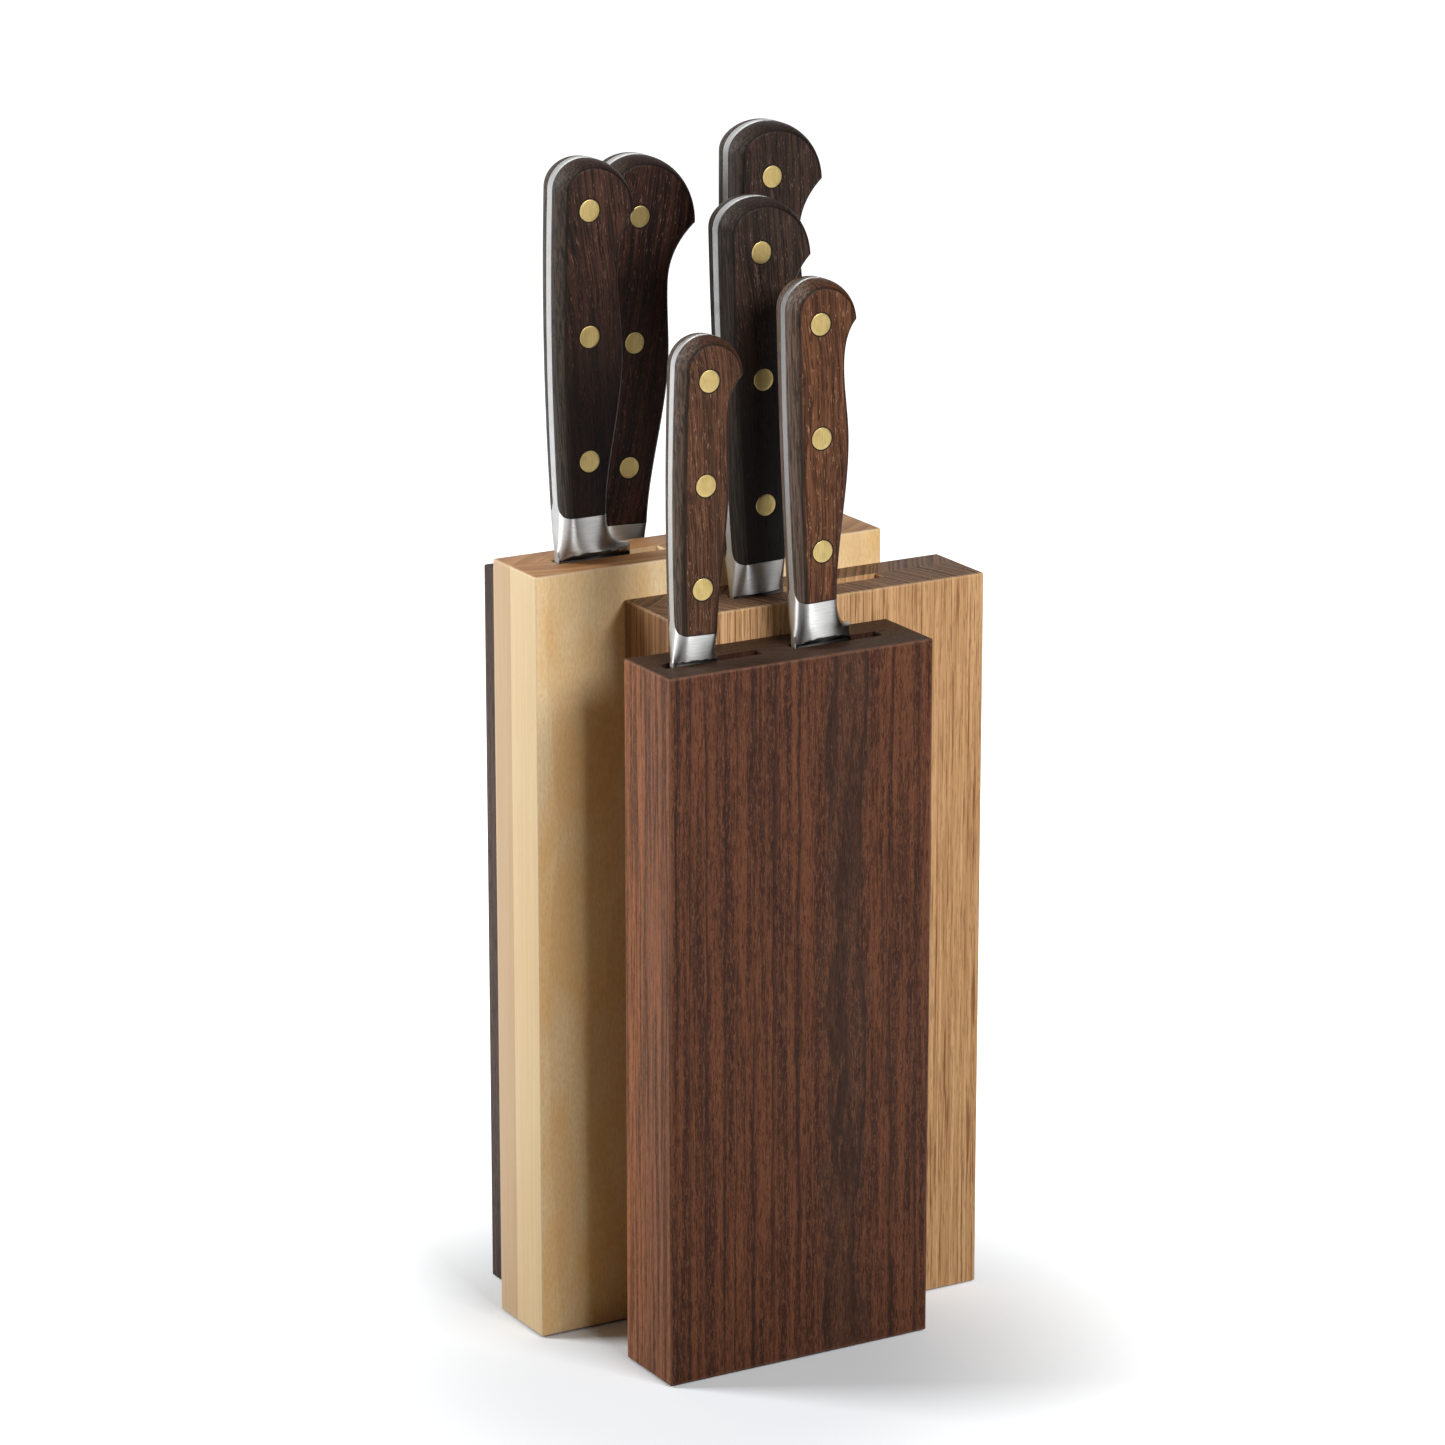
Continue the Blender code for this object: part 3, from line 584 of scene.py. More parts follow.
# ---- the beech block ----
# The third block is pale beech: smooth cream wood with a faint cloudy figure and tiny
# flecks.  Its backing board is a shade pinker, and its end grain is honey brown.
def beech(name, pith, light, shade):
    wood = Timber(name, gloss=0.3)
    rings = wood.rings(wood.growth(pith, wander=9.0, across=0.018, along=0.007),
                       pitch=4.6, uneven=2.6, late=(0.10, 0.95))
    clouds = wood.grain(0.05, 0.02, detail=3.0, distortion=0.8)
    mottle = wood.grain(1.3, 0.40, roughness=0.7)
    streaks = wood.grain(0.9, 0.014, detail=3.0, roughness=0.55)
    specks = wood.grain(2.2, 0.55).rise(0.56, 0.72)
    sides, ends = wood.sides_and_ends()
    flank = wood.mix(streaks.rise(0.3, 0.7), dim(light, 0.90), dim(light, 0.83))
    cut = wood.mix(rings, (0.45, 0.232, 0.094), (0.31, 0.145, 0.054))
    colour = wood.layers(
        wood.mix(clouds.rise(0.30, 0.70), light, shade),
        (streaks.rise(0.42, 0.70) * 0.35, shade),
        (rings * 0.16, (0.56, 0.34, 0.17)),
        (specks * 0.14, (0.50, 0.30, 0.15)),
        (mottle.rise(0.62, 0.36) * 0.22, (0.52, 0.30, 0.13)),
        (sides * 0.80, flank),
        (ends, wood.mix(specks * 0.4, cut, (0.27, 0.13, 0.055))),
        # paler edges: partly wear, partly painted highlight
        (wood.worn_and_highlit_arrises("beech") * 0.3, (0.86, 0.70, 0.50)))
    wood.varies(Base_Color=colour, Roughness=0.46 + streaks * 0.12)
    wood.relief(streaks * 0.4 - specks * 0.4, depth=0.03 * MM, strength=0.5)
    return wood.owner


build_board("beech", "front", beech("beech_face_board", pith=(-40.0, 120.0),
                                    light=(0.93, 0.74, 0.46), shade=(0.87, 0.58, 0.26)))
build_board("beech", "back", beech("beech_backing", pith=(60.0, -160.0),
                                   light=(0.70, 0.51, 0.315), shade=(0.60, 0.39, 0.22)))


# ---- the smoked block ----
# The last block is smoked oak, stained through to a near-black brown; a few red-brown
# streaks are left along its grain.
def smoked(name, pith):
    wood = Timber(name, gloss=0.14)
    rings = wood.rings(wood.growth(pith, wander=4.0), pitch=2.4, uneven=2.4, late=(0.45, 0.93))
    streaks = wood.grain(0.8, 0.014, detail=3.0, roughness=0.6)
    pores = wood.grain(4.2, 0.16, detail=1.0).rise(0.55, 0.66)
    sides, ends = wood.sides_and_ends()
    # Paler edges: partly wear, partly painted highlight on the eased arris.
    wear_and_highlight = wood.worn_and_highlit_arrises("smoked") * streaks.rise(0.3, 0.6, 0.3)
    colour = wood.layers(
        wood.mix(streaks.rise(0.32, 0.68), (0.026, 0.014, 0.010), (0.085, 0.048, 0.034)),
        (streaks.rise(0.60, 0.74) * 0.7, (0.135, 0.075, 0.052)),
        (rings * 0.6, (0.018, 0.011, 0.009)),
        (pores * 0.6, (0.010, 0.007, 0.006)),
        (ends * 0.8, (0.014, 0.010, 0.009)),
        (wear_and_highlight * 0.35, (0.16, 0.10, 0.07)))
    wood.varies(Base_Color=colour, Roughness=0.48 + pores * 0.2 + streaks * 0.12)
    wood.relief(streaks * 0.3 - pores * 0.8, depth=0.06 * MM)
    return wood.owner


build_board("smoked", "front", smoked("smoked_face_board", pith=(-170.0, 40.0)))
build_board("smoked", "back", smoked("smoked_backing", pith=(130.0, -60.0)))

# ---- the dowels ----
# Two fluted beech pegs cross each glue line between neighbouring blocks.  They are cut
# from rod, with grooves for the glue and chamfered ends, and are hidden once glued.
FLUTES = 12
FLUTE_DEPTH = 0.25 * MM
PEG_POINTS = 72
PEG_CHAMFER = 0.7 * MM
FLUTES_START = 1.6 * PEG_CHAMFER

peg_wood = Finish("peg_beech", Specular_IOR_Level=0.35)
place = peg_wood.place()
grain = peg_wood.noise(place, 1.4, 0.06, 1.4, detail=3.0)
pores = peg_wood.noise(place, 3.5, 0.5, 3.5).rise(0.58, 0.70)
colour = peg_wood.mix(grain.rise(0.3, 0.7), (0.62, 0.43, 0.25), (0.74, 0.56, 0.36))
peg_wood.varies(Base_Color=peg_wood.mix(pores * 0.4, colour, (0.38, 0.22, 0.11)),
                Roughness=0.55 + grain * 0.15)
peg_wood.relief(grain * 0.5 - pores * 0.5, depth=0.05 * MM)


def round_turns(count):
    return [2 * math.pi * i / count for i in range(count)]


def round_box(node):
    """Low corner, high corner, middle and radius of a round part's box."""
    low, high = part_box(node)
    return low, high, (low + high) / 2, (high.x - low.x) / 2


def peg_ring(middle, radius, y, fluted):
    ring = []
    for turn in round_turns(PEG_POINTS):
        reach = radius - fluted * FLUTE_DEPTH * (0.5 + 0.5 * math.cos(FLUTES * turn)) ** 3
        ring.append((middle.x + reach * math.cos(turn), y, middle.z + reach * math.sin(turn)))
    return ring


for number in range(1, 7):
    low, high, middle, radius = round_box(f"dowel_{number}")
    bm = bmesh.new()
    skin(bm, [peg_ring(middle, radius - narrower, y, fluted) for narrower, y, fluted in (
        (PEG_CHAMFER, low.y, 0), (0, low.y + PEG_CHAMFER, 0), (0, low.y + FLUTES_START, 1),
        (0, high.y - FLUTES_START, 1), (0, high.y - PEG_CHAMFER, 0), (PEG_CHAMFER, high.y, 0))])
    peg = add_piece(f"glue_peg_{number}", bm, peg_wood.owner)
    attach(peg, "stack")
    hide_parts(f"dowel_{number}")

# ---- the feet ----
# Six black rubber discs are pressed into recesses under the block and stand half a
# millimetre out of them.  Each has a rounded lower edge and a shallow ring on its sole.
FOOT_POINTS = 48
SOLE_ROUND = 0.4 * MM
SOLE_STEPS = 4
RING_GROOVE = 0.25 * MM

rubber = Finish("foot_rubber", Specular_IOR_Level=0.3)
place = rubber.place()
grit = rubber.noise(place, 4.0, 4.0, 4.0, detail=3.0)
dust = rubber.noise(place, 0.3, 0.3, 0.3).rise(0.45, 0.75)
rubber.varies(Base_Color=rubber.mix(dust * 0.5, (0.020, 0.020, 0.021), (0.050, 0.049, 0.047)),
              Roughness=0.70 + grit * 0.2)
rubber.relief(grit, depth=0.04 * MM)

for number in range(1, 7):
    low, high, middle, radius = round_box(f"foot_{number}")
    outline = [(0.62 * radius, low.z), (0.64 * radius, low.z + RING_GROOVE),
               (0.74 * radius, low.z + RING_GROOVE), (0.76 * radius, low.z)]
    for step in range(SOLE_STEPS + 1):
        turn = step / SOLE_STEPS * math.pi / 2
        outline.append((radius - SOLE_ROUND * (1 - math.sin(turn)),
                        low.z + SOLE_ROUND * (1 - math.cos(turn))))
    outline.append((radius, high.z))
    bm = bmesh.new()
    skin(bm, [[(middle.x + reach * math.cos(turn), middle.y + reach * math.sin(turn), z)
               for turn in round_turns(FOOT_POINTS)] for reach, z in outline])
    foot = add_piece(f"rubber_foot_{number}", bm, rubber.owner)
    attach(foot, "stack")
    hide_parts(f"foot_{number}")

# ---- the forged blades ----
# Blade, bolster and full tang are one drop-forged bar of stainless steel.  The bolster is
# ground into the tang with a hollow fillet, swept down to a chamfered foot, and brushed
# across; the blade is ground to a wedge with a fine cutting bevel.
THIN_END = 0.84
FLANK_LOSS = 2.5 * MM  # how far a handle's side falls in from the tang to the face
FLANK_STEPS = 7
FACE_STEPS = 10
BULGE_POWER = 2.2
FACE_ARRIS = 0.35 * MM  # rounding between side and face
FACE_CROWN = 0.2 * MM
SEAT_GAP = 0.03 * MM  # between wood and steel
OUTLINE_STEPS = (24, 16)  # on the outline's long and short stretches
BUTT_ROUND = 10.0 * MM
APEX_SIDE = 0.8 * MM
RELIEF_SLOPE = 0.85
FILLET = 4.2 * MM
FILLET_DEGREES = (8, 20, 32, 45, 60, 75, 90)
UNDERCUT_END = -1.5 * MM
UNDERCUT_HALF = 1.5 * MM
FOOT_HALF = UNDERCUT_HALF + 0.3 * MM
HIGH_UNDERCUT = 1.5 * MM  # a bolster cut under by more than this is flared
SPINE_THICK = 2.6 * MM
SPINE_EASE = 0.16 * MM  # how far the spine's edges are rounded in
EDGE_THICK = 0.5 * MM  # behind the cutting bevel
EDGE_HALF = 0.04 * MM  # and at the very edge
CUTTING_BEVEL = 1.1 * MM
HOLLOW_GRIND = 0.12  # share of the thickness that is ground hollow
GROUND_STEPS = 8
POINT_WIDTH = 0.15 * MM
TIP_LEVELS = (0.97, 0.975, 0.985, 0.992, 0.997, 1.0)
BLADE_SET_IN = 0.5 * MM
SPINE_STRAIGHT = 0.55
TIP_DROP = 0.30
BELLY_START = 0.42
BLADE_ROOT = 1.0 * MM  # how far the blade is let up into the bolster
PLAIN_STEP = 2.5 * MM  # between the sections of a plain blade
TOOTH_PITCH = 10.0 * MM
TOOTH_DEPTH = 1.1 * MM
TEETH_END = 0.90
TANG_ARRIS = 0.18 * MM
TANG_ROOT = 3.0 * MM  # how deep the tang's foot reaches into the bolster
TANG_SUNK = 0.05 * MM  # keeps that foot inside the bolster's skin
BOLSTER_LEVELS = 26
BOLSTER_CROWN = 0.5 * MM  # how far the bolster's face bows across
BOW_FADE = 4.0 * MM  # below the ledge the bow sets in over this height
WEDGE = (0.40, 1.2, 0.60, 1.5)  # how much the foot narrows, and how lens-shaped it is,
FLARED = (0.20, 1.8, 1.0, 2.0)  # each with the power by which it fades up to the ledge
HEEL_HALF = 1.6 * MM  # half thickness of a flared heel's end
HEEL_BLEND = 5.0 * MM  # a heel that stands out so far is thinned in full
HEEL_START = 0.4  # share of the throat's side where the thinning sets in
HEEL_FADE = 1.6
HEEL_SET_BACK = 3.5 * MM  # how far under the bolster the blade reaches its full width


def half_thickness(knife, w):
    """Half the handle's thickness at a height; it thins towards the bolster."""
    share = THIN_END + (1 - THIN_END) * (w - knife.ledge) / (knife.crown - knife.ledge)
    return share * knife.thick / 2


def spine_side(knife, w):
    low, middle, top = knife.spine
    t = max((w - knife.ledge) / (knife.crown - BUTT_ROUND - knife.ledge), 0.0)
    return low * (1 - t) * (1 - 2 * t) + 4 * middle * t * (1 - t) + top * t * (2 * t - 1)


def ease(t):
    return t * t * (3 - 2 * t)


def handle_outline(knife):
    """Widest outline of the handle: up the spine, over the butt, down the belly."""
    long, short = [[i / count for i in range(1, count + 1)] for count in OUTLINE_STEPS]
    shoulder = knife.crown - BUTT_ROUND
    reach = knife.spine[2] + APEX_SIDE
    (beak_u, beak_w), (waist_u, waist_w), (swell_u, swell_w) = knife.beak, knife.waist, knife.swell
    bend_w = beak_w - RELIEF_SLOPE * (beak_u - waist_u)
    heights = [knife.ledge + t * (shoulder - knife.ledge) for t in (0.0, *long)]
    return [
        *[(-spine_side(knife, w), w) for w in heights],
        *[(APEX_SIDE - reach * math.cos(t * math.pi / 2),
           shoulder + BUTT_ROUND * math.sin(t * math.pi / 2)) for t in short],
        *[(APEX_SIDE + (beak_u - APEX_SIDE) * math.sin(t * math.pi / 2),
           beak_w + (knife.crown - beak_w) * math.cos(t * math.pi / 2)) for t in long],
        *[(beak_u * (1 - t) ** 2 + waist_u * t * (2 - t),
           beak_w * (1 - t) ** 2 + 2 * bend_w * t * (1 - t) + waist_w * t * t) for t in short],
        *[(waist_u + (swell_u - waist_u) * ease(t), waist_w + (swell_w - waist_w) * t)
          for t in short],
        *[(swell_u + (knife.throat - swell_u) * ease(t), swell_w + (knife.ledge - swell_w) * t)
          for t in long]]


def inset(outline, distance):
    """The outline moved inwards; its two lower corners keep their height."""
    moved = [(outline[0][0] + distance, outline[0][1])]
    for before, here, after in zip(outline, outline[1:], outline[2:]):
        arriving = (Vector(here) - Vector(before)).normalized()
        leaving = (Vector(after) - Vector(here)).normalized()
        inward = Vector((arriving.y + leaving.y, -arriving.x - leaving.x)).normalized()
        reach = distance / max(inward.dot(Vector((arriving.y, -arriving.x))), 0.5)
        moved.append((here[0] + inward.x * reach, here[1] + inward.y * reach))
    moved.append((outline[-1][0] - distance, outline[-1][1]))
    return moved


def flank_loss(share):
    """How far the side has fallen in, at a share of the way from the tang to the face."""
    return FLANK_LOSS * max(share, 0.0) ** BULGE_POWER


def half_section(knife, left, right, share, lens, top=None, bowed=1.0):
    """Front half of a level section, round from the spine side to the edge side."""
    full = half_thickness(knife, knife.ledge)
    inner = knife.tang / 2 + SEAT_GAP
    arris = full - FACE_CROWN
    reach = arris - FACE_ARRIS if top is None else top
    corner = [(0.0, 0.0)]
    for k in range(FLANK_STEPS + 1):
        y = inner + (reach - inner) * k / FLANK_STEPS
        corner.append((flank_loss((y - inner) / (arris - inner)), y))
    if top is None:
        corner += [(0.25 * corner[-1][0] + 0.75 * FLANK_LOSS + 0.25 * FACE_ARRIS,
                    arris - 0.25 * FACE_ARRIS), (FLANK_LOSS + FACE_ARRIS, arris)]
    else:
        corner += [(corner[-1][0] + FACE_ARRIS * k, top) for k in (1, 2)]
    points = [(left + lost, y) for lost, y in corner]
    inwards = [(right - lost, y) for lost, y in reversed(corner)]
    start, end = points[-1][0], inwards[0][0]
    for k in range(1, FACE_STEPS):
        u = start + (end - start) * k / FACE_STEPS
        edge = left if u < 0 else right
        points.append((u, top or full - FACE_CROWN * (u / edge) ** 2))
    points += inwards
    flare = min(max((right - knife.throat) / HEEL_BLEND, 0.0), 1.0)
    ring = []
    for i, (u, y) in enumerate(points):
        bow = 0.0 if top else (BOLSTER_CROWN - FACE_CROWN) * (u / (left if u < 0 else right)) ** 2
        out = max((u - HEEL_START * knife.throat) / (right - HEEL_START * knife.throat), 0.0)
        y = max(y - bow * bowed, 0.0) * (1 - (1 - HEEL_HALF / full) * (out * flare) ** HEEL_FADE)
        turn = math.pi * i / (len(points) - 1)
        strip = SPINE_THICK / 2 if 2 * i < len(points) else EDGE_THICK
        round_u = (left + right) / 2 - (right - left) / 2 * math.cos(turn)
        round_y = max(full * math.sin(turn), strip / share) if y > 0 else 0.0
        ring.append((u + (round_u - u) * lens, share * (y + (round_y - y) * lens)))
    return ring


def section(knife, left, right, share, w, lens, top=None, cap=None):
    """Closed level section of the bolster; cap limits its depth for the foot's chamfer."""
    bowed = min(max((knife.ledge - w) / BOW_FADE, 0.0), 1.0)
    front = half_section(knife, left, right, share, lens, top, bowed)
    if cap is not None:
        front = [(u, min(y, cap)) for u, y in front]
    return [(u, y, w) for u, y in front] + [(u, -y, w) for u, y in reversed(front[1:-1])]


def throat_side(knife, w):
    heel_u, heel_w = knife.heel
    if w <= heel_w:
        return heel_u
    sine = (knife.ledge - w) / (knife.ledge - heel_w)
    return knife.throat + (heel_u - knife.throat) * (1 - math.sqrt(max(1 - sine * sine, 0.0)))


def bolster_share(knife, t):
    """Thickness share and lens shape of the bolster at a share of the ledge's height."""
    narrows, fade, lens, lens_fade = FLARED if knife.undercut > HIGH_UNDERCUT else WEDGE
    return 1 - narrows * (1 - t) ** fade, lens * (1 - t) ** lens_fade


def bolster_rings(knife):
    outline = handle_outline(knife)
    (u0, w0), (u1, w1) = outline[-1], outline[-6]
    full = half_thickness(knife, knife.ledge)
    hollow = min(FILLET, full - knife.tang / 2 - FIT / 2)
    rings = []
    for turn in map(math.radians, FILLET_DEGREES):
        half = knife.tang / 2 + hollow * (1 - math.cos(turn))
        w = knife.ledge + hollow * (1 - math.sin(turn))
        belly = u0 + (u1 - u0) * (w - w0) / (w1 - w0)
        rings.append(section(knife, -spine_side(knife, w), belly, 1.0, w, 0.0, top=half))
    for level in range(BOLSTER_LEVELS, -1, -1):
        t = level / BOLSTER_LEVELS
        w = t * knife.ledge
        share, lens = bolster_share(knife, t)
        cap = FOOT_HALF + w * (share * full - UNDERCUT_HALF) / knife.undercut
        rings.append(section(knife, -knife.spine[0], throat_side(knife, w), share, w, lens,
                             cap=cap))
    rings.append(section(knife, -knife.spine[0], knife.heel[0], share, UNDERCUT_END, lens,
                         cap=UNDERCUT_HALF))
    return rings


def blade_sides(knife, w):
    """Spine side and edge side of the blade at a height below the bolster."""
    length, width = knife.blade
    spine = -knife.spine[0] + BLADE_SET_IN
    edge, tip = spine + width, spine + TIP_DROP * width
    down = -w / length
    left, right = spine, edge
    if down > SPINE_STRAIGHT:
        left = spine + (tip - spine) * ((down - SPINE_STRAIGHT) / (1 - SPINE_STRAIGHT)) ** 2
    if knife.serrated:
        turn_down = (1 + TEETH_END) / 2
        lift = TIP_DROP / 3 * width
        if down < TEETH_END - 0.02 and w < UNDERCUT_END - TOOTH_PITCH / 2:
            right = edge - TOOTH_DEPTH * abs(math.cos(math.pi * w / TOOTH_PITCH)) ** 1.5
        elif down > turn_down:
            right = edge - lift + (tip - edge + lift) * (down - turn_down) / (1 - turn_down)
        elif down > TEETH_END:
            right = edge - lift * (down - TEETH_END) / (turn_down - TEETH_END)
    elif down > BELLY_START:
        sine = (down - BELLY_START) / (1 - BELLY_START)
        right = tip + (edge - tip) * math.sqrt(max(1 - sine * sine, 0.0))
    heel = knife.heel[0] - 2 * BLADE_SET_IN
    fallen = min(max((UNDERCUT_END - w) / HEEL_SET_BACK, 0.0), 1.0)
    if heel < right:
        right = heel + (right - heel) * math.sqrt(1 - (1 - fallen) ** 2)
    return left, max(right, left + POINT_WIDTH)


def blade_ring(knife, w):
    spine = -knife.spine[0] + BLADE_SET_IN
    left, right = blade_sides(knife, w)
    bevel = min(CUTTING_BEVEL, 0.3 * (right - left))

    def half(u):
        share = min(max((u - spine) / knife.blade[1], 0.0), 1.0)
        hollow = HOLLOW_GRIND * math.sin(math.pi * share)
        return (SPINE_THICK + (EDGE_THICK - SPINE_THICK) * share) / 2 * (1 - hollow)

    across = [(left, 0.62 * half(left)), (left + SPINE_EASE, half(left))]
    for k in range(1, GROUND_STEPS + 1):
        u = left + (right - bevel - left) * k / GROUND_STEPS
        across.append((u, half(u)))
    across.append((right, EDGE_HALF))
    return [(u, y, w) for u, y in across] + [(u, -y, w) for u, y in reversed(across)]


def blade_levels(knife):
    length = knife.blade[0]
    step = TOOTH_PITCH / 16 if knife.serrated else PLAIN_STEP
    levels = [BLADE_ROOT, 0.0, 0.5 * UNDERCUT_END, UNDERCUT_END]
    w = UNDERCUT_END - step
    while w > -(TIP_LEVELS[0] * length):
        levels.append(w)
        w -= step
    return levels + [-share * length for share in TIP_LEVELS[1:]]


def tang_rings(knife):
    outline = handle_outline(knife)
    root = knife.ledge - TANG_ROOT
    left, right = outline[0][0] + TANG_SUNK, outline[-1][0] - TANG_SUNK
    plate = [(left, root), (left, knife.ledge), *outline[1:-1], (right, knife.ledge), (right, root)]
    eased = inset(plate, TANG_ARRIS)
    half = knife.tang / 2
    return [[(u, y, w) for u, w in ring]
            for y, ring in ((-half, eased), (-half + TANG_ARRIS, plate),
                            (half - TANG_ARRIS, plate), (half, eased))]


def brushed_steel(knife):
    """Stainless steel: satin brushed across the bolster and blade, along the tang's edge, with
    painted shade on the undersides.
    """
    steel = Finish(knife.name + "_brushed_steel", Metallic=1.0, Anisotropic=0.92,
                   Anisotropic_Rotation=0.25)
    place = steel.place()
    lines = steel.noise(place, 0.10, 2.0, 9.0, detail=3.0, roughness=0.65)
    fine = steel.noise(place, 0.5, 6.0, 30.0, roughness=0.6)
    smear = steel.noise(place, 0.12, 0.3, 0.25).rise(0.35, 0.70)
    y, w = steel.split(place)[1:]
    # Painted shade: the bolster's undercut band and all faces turned down are painted dark, as the
    # dark wood they mirror.
    neck = abs(y).rise(1.38, 1.48) * w.rise(0.35 * knife.undercut / MM, 0.1)
    under = (steel.facing()[2] * -1.0).rise(0.30, 0.55).larger(neck)
    blade = w.rise(0.0, -2.5)
    colour = steel.layers(
        steel.mix(lines.rise(0.3, 0.7), (0.38, 0.38, 0.376), (0.58, 0.58, 0.572)),
        (smear * 0.2, (0.36, 0.36, 0.352)),
        # the painted dark undersides
        (under, (0.075, 0.072, 0.070)),
        (blade * 0.55, (0.20, 0.20, 0.198)))
    steel.varies(Base_Color=colour, Roughness=0.34 + lines * 0.16 + smear * 0.05 + blade * 0.10)
    steel.relief(lines * 0.6 + fine * 0.4, depth=0.015 * MM, strength=0.5)
    return steel.owner


for knife in KNIVES:
    bm = bmesh.new()
    skin(bm, bolster_rings(knife))
    skin(bm, tang_rings(knife))
    skin(bm, [blade_ring(knife, w) for w in blade_levels(knife)])
    forged = add_piece(knife.name + "_forging", bm, brushed_steel(knife), knife.frame, sharp=28.0)
    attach(forged, knife.name + "_knife")
    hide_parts(knife.name + "_forged_blade")

# ---- the handle scales ----
# Two scales of dark smoked hardwood are riveted to each tang and shaped with it: the face
# is slightly crowned, a soft arris runs round it, and the sides belly out to the tang.
SIDE_LAYERS = 12
FACE_LAYERS = (0.04, 0.12, 0.25, 0.42, 0.62, 0.82, 1.0)
FOOT_STEPS = 10
FOOT_CLEAR = 0.2 * MM
RIDGE_FOOT = 7.0 * MM  # the crown's ridge ends this far above the bolster
RIDGE_TOP = 15.0 * MM  # and this far below the butt


def between(start, end, i, count):
    return tuple(a + (b - a) * i / count for a, b in zip(start, end))


def standing_at(outline, w):
    """The outline cut off at height w, with its two lower corners on that line."""
    def trimmed(side):
        kept = [point for point in side if point[1] > w + FOOT_CLEAR]
        gone = len(side) - len(kept)
        (u0, w0), (u1, w1) = side[0], side[gone]
        corner = (u0 + (u1 - u0) * (w - w0) / (w1 - w0), w)
        return [between(corner, kept[0], i, gone) for i in range(gone)] + kept

    middle = len(outline) // 2
    return trimmed(outline[:middle]) + trimmed(outline[middle:][::-1])[::-1]


def scale_rings(knife, side):
    outline = handle_outline(knife)
    inner = knife.tang / 2 + SEAT_GAP
    full = half_thickness(knife, knife.ledge)
    hollow = min(FILLET, full - knife.tang / 2 - FIT / 2)
    depth = full - FACE_CROWN - inner
    flank = depth - FACE_ARRIS
    profile = []
    for i in range(SIDE_LAYERS + 1):
        out = flank * i / SIDE_LAYERS
        rise = hollow - math.sqrt(max(2 * hollow * out - out * out, 0.0)) if out < hollow else 0.0
        profile.append((out / depth, flank_loss(out / depth), rise))
    last = profile[-1][1]
    profile.append(((flank + 0.75 * FACE_ARRIS) / depth,
                    0.25 * last + 0.75 * FLANK_LOSS + 0.25 * FACE_ARRIS, 0.0))
    profile.append((1.0, FLANK_LOSS + FACE_ARRIS, 0.0))

    rings = []
    for share, lost, rise in profile:
        ring = inset(standing_at(outline, knife.ledge + SEAT_GAP + rise), lost)
        ring += [between(ring[-1], ring[0], i, FOOT_STEPS) for i in range(1, FOOT_STEPS)]
        rings.append([
            (u, side * (inner + share * (half_thickness(knife, w) - FACE_CROWN - inner)), w)
            for u, w in ring])
    face = rings[-1]
    for share in FACE_LAYERS:
        ring = []
        for u, y, w in face:
            target = min(max(w, knife.ledge + RIDGE_FOOT), knife.crown - RIDGE_TOP)
            up = w + (target - w) * share
            y = side * (half_thickness(knife, up) - FACE_CROWN * (1 - share) ** 2)
            ring.append((u * (1 - share), y, up))
        rings.append(ring)
    return rings


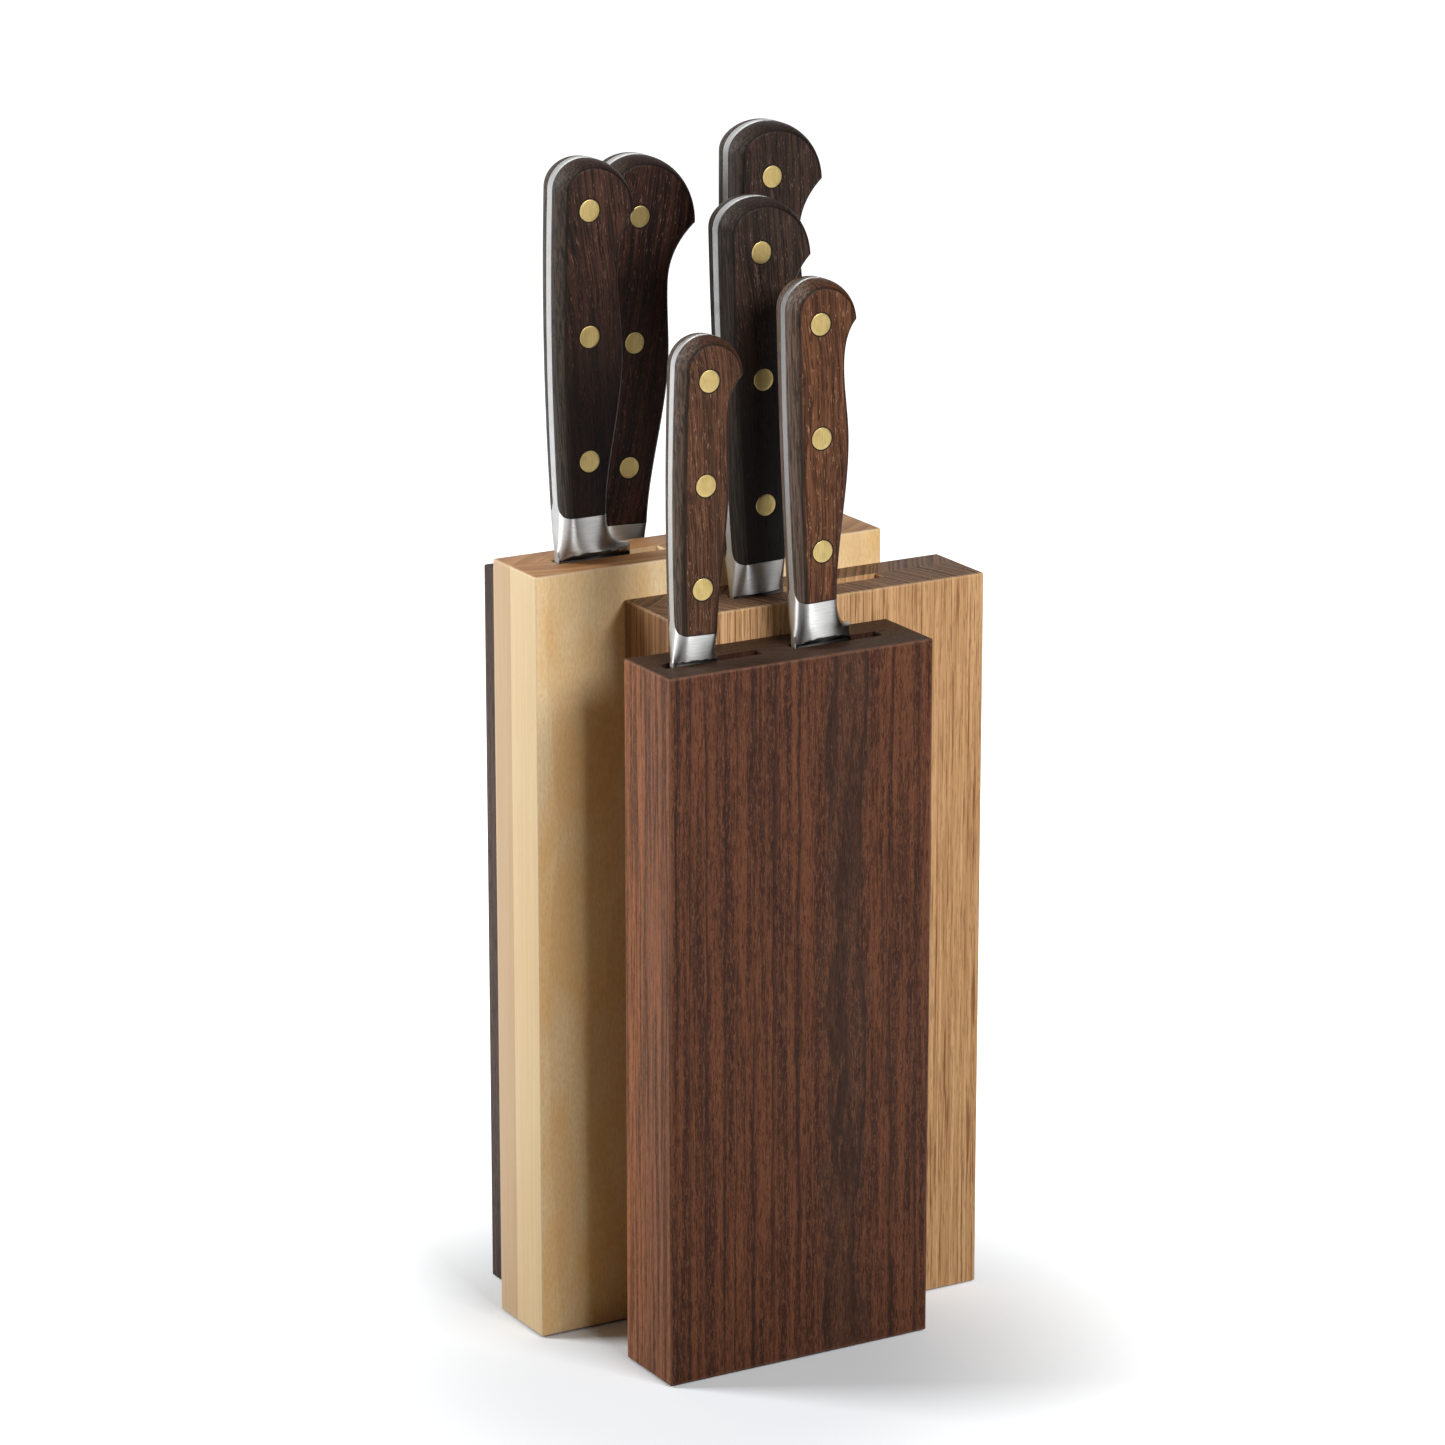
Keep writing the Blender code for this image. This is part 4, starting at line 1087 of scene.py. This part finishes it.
def handle_wood(knife, deep, warm, streak, smoke, grain_turn):
    """Open-pored dark hardwood with its grain along the handle; painted shadow darkens the lower
    half, and the sides and the arris carry painted sheen and shade.
    """
    wood = Timber(knife.name + "_handle_timber", gloss=0.13)
    drift = wood.grain(0.05, 0.016)
    u, y, w = wood.split(wood.spot)
    wood.spot = wood.join(u + drift * 9.0 + w * grain_turn, y, w)
    stripes = wood.grain(0.34, 0.008, detail=3.0, roughness=0.62)
    lines = wood.grain(1.5, 0.022, detail=3.0, roughness=0.65)
    pores = wood.grain(2.1, 0.14, roughness=0.7).rise(0.54, 0.66)
    flecks = wood.grain(1.9, 0.30, roughness=0.75).rise(0.60, 0.69)
    patches = wood.grain(0.13, 0.06, detail=3.0).rise(0.58, 0.72)
    # Painted shadow: darker towards the bolster, as the shadow cast by the knives in front.
    low_painted_shadow = (w / (knife.crown / MM)).rise(0.86, 0.42)
    along, across, up = wood.facing()
    flat = abs(across)
    # Painted shade: a dark band along the arris between side and face.
    arris = flat.rise(0.58, 0.72) * flat.rise(0.985, 0.88)
    grey = sum(warm) / 3
    # Painted sheen and shade on the sides: the side facing the spine is a paler grey, as sheen from
    # the left lamp, and the butt and the other side are painted darker, as shade.
    flank = wood.layers(
        wood.mix(lines.rise(0.40, 0.60), dim((0.80, 0.64, 0.53), grey),
                 dim((2.30, 1.75, 1.42), grey)),
        (pores * 0.6, dim((0.25, 0.20, 0.16), grey)))
    butt = wood.mix(lines.rise(0.40, 0.60), dim(deep, 0.55), dim(warm, 0.62))
    lowest, middle = [height / MM for height in knife.rivet_heights[:2]]
    pitch = middle - lowest
    nearest = ((w - lowest) / pitch).maths("ROUND").larger(0.0).smaller(2.0)
    above = w - lowest - nearest * pitch
    seam = (u * u + above * above).maths("SQRT").rise(4.20, 3.90)
    foot = (w - knife.ledge / MM).rise(0.9, 0.1)
    colour = wood.layers(
        wood.mix(stripes.rise(0.34, 0.64), deep, warm),
        (lines.rise(0.50, 0.68) * 0.60, streak),
        (lines.rise(0.49, 0.36) * 0.75, dim(deep, 0.25)),
        (pores * 0.75, dim(deep, 0.20)),
        (flecks * 0.60, [part * 1.9 + 0.04 for part in streak]),
        (patches * 0.6, dim(deep, 0.30)),
        # painted shadow on the lower half
        (low_painted_shadow * smoke, dim(deep, 0.22)),
        # painted sheen on the spine side, painted shade on the butt and the other side
        (flat.rise(0.975, 0.88) * 0.78,
         wood.mix((along * -1.0).rise(0.15, 0.55), butt, flank)),
        # the painted shade along the arris
        (arris * 0.75, dim(deep, 0.25)),
        (seam * 0.95, (0.006, 0.004, 0.003)),
        (foot * 0.7, (0.006, 0.004, 0.004)))
    wood.varies(Base_Color=colour, Roughness=0.42 + pores * 0.25 + stripes * 0.10)
    wood.relief(lines * 0.35 - pores * 0.9 - seam * 0.8, depth=0.07 * MM, strength=0.7)
    return wood.owner


# deep, warm and streak tones, how much painted shadow darkens the lower half, and how far the grain
# leans
HANDLE_TONES = {
    "santoku": ((0.014, 0.007, 0.005), (0.056, 0.026, 0.018), (0.105, 0.042, 0.027), 0.80, 0.10),
    "bread": ((0.012, 0.006, 0.005), (0.048, 0.020, 0.014), (0.085, 0.034, 0.022), 0.35, -0.12),
    "carving": ((0.016, 0.008, 0.006), (0.042, 0.023, 0.017), (0.072, 0.038, 0.028), 0.50, 0.03),
    "cook": ((0.014, 0.008, 0.006), (0.042, 0.023, 0.017), (0.074, 0.042, 0.030), 0.90, 0.05),
    "paring": ((0.044, 0.019, 0.010), (0.112, 0.049, 0.027), (0.182, 0.088, 0.050), 0.0, 0.10),
    "utility": ((0.052, 0.020, 0.010), (0.152, 0.062, 0.031), (0.245, 0.110, 0.056), 0.0, 0.02),
}

for knife in KNIVES:
    timber = handle_wood(knife, *HANDLE_TONES[knife.name])
    for side, where in ((-1, "front"), (1, "back")):
        bm = bmesh.new()
        skin(bm, scale_rings(knife, side), close_last=False)
        bmesh.ops.remove_doubles(bm, verts=bm.verts, dist=0.002 * MM)
        grip = add_piece(f"{knife.name}_{where}_grip", bm, timber, knife.frame, sharp=32.0)
        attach(grip, knife.name + "_knife")
        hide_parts(f"{knife.name}_{where}_scale")

# ---- the rivets ----
# Three brass rivets pass through each handle.  Their heads are ground flush with the wood
# along the grip, which leaves fine lines up and down and a satin shine.
RIVET_POINTS = 48
RIVET_PROUD = 0.04 * MM
# shares of the radius and how far each lies below the face, from the rim to the middle
RIVET_HEAD = ((1.0, 0.10 * MM), (0.975, 0.03 * MM), (0.94, 0.0), (0.7, 0.0), (0.4, 0.0),
              (0.02, 0.0))
GRIP_HALF = 10.5 * MM  # half the grip's width, over which its face is crowned

brass = Finish("ground_brass", Metallic=1.0)
place = brass.place()
lines = brass.noise(place, 7.0, 2.0, 0.25, detail=3.0, roughness=0.6)
tarnish = brass.noise(place, 0.35, 0.35, 0.25, detail=3.0).rise(0.40, 0.72)
colour = brass.mix(lines.rise(0.3, 0.7), (0.34, 0.25, 0.092), (0.46, 0.355, 0.155))
brass.varies(Base_Color=brass.mix(tarnish * 0.35, colour, (0.24, 0.165, 0.055)),
             Roughness=0.32 + lines * 0.12 + tarnish * 0.10)
brass.relief(lines, depth=0.012 * MM, strength=0.5)

for knife in KNIVES:
    for number, height in enumerate(knife.rivet_heights, 1):
        low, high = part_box(f"{knife.name}_rivet_{number}")
        radius = (high.z - low.z) / 2 / math.cos(math.asin(abs(knife.axis.x)))
        rings = []
        for side in (-1, 1):
            for share, drop in RIVET_HEAD[::side]:
                ring = []
                for turn in round_turns(RIVET_POINTS):
                    u, up = share * radius * math.cos(turn), share * radius * math.sin(turn)
                    crown = FACE_CROWN * (u / GRIP_HALF) ** 2
                    y = half_thickness(knife, height + up) - crown + RIVET_PROUD - drop
                    ring.append((u, side * y, height + up))
                rings.append(ring)
        bm = bmesh.new()
        skin(bm, rings)
        rivet = add_piece(f"{knife.name}_brass_rivet_{number}", bm, brass.owner, knife.frame)
        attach(rivet, knife.name + "_knife")
        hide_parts(f"{knife.name}_rivet_{number}")
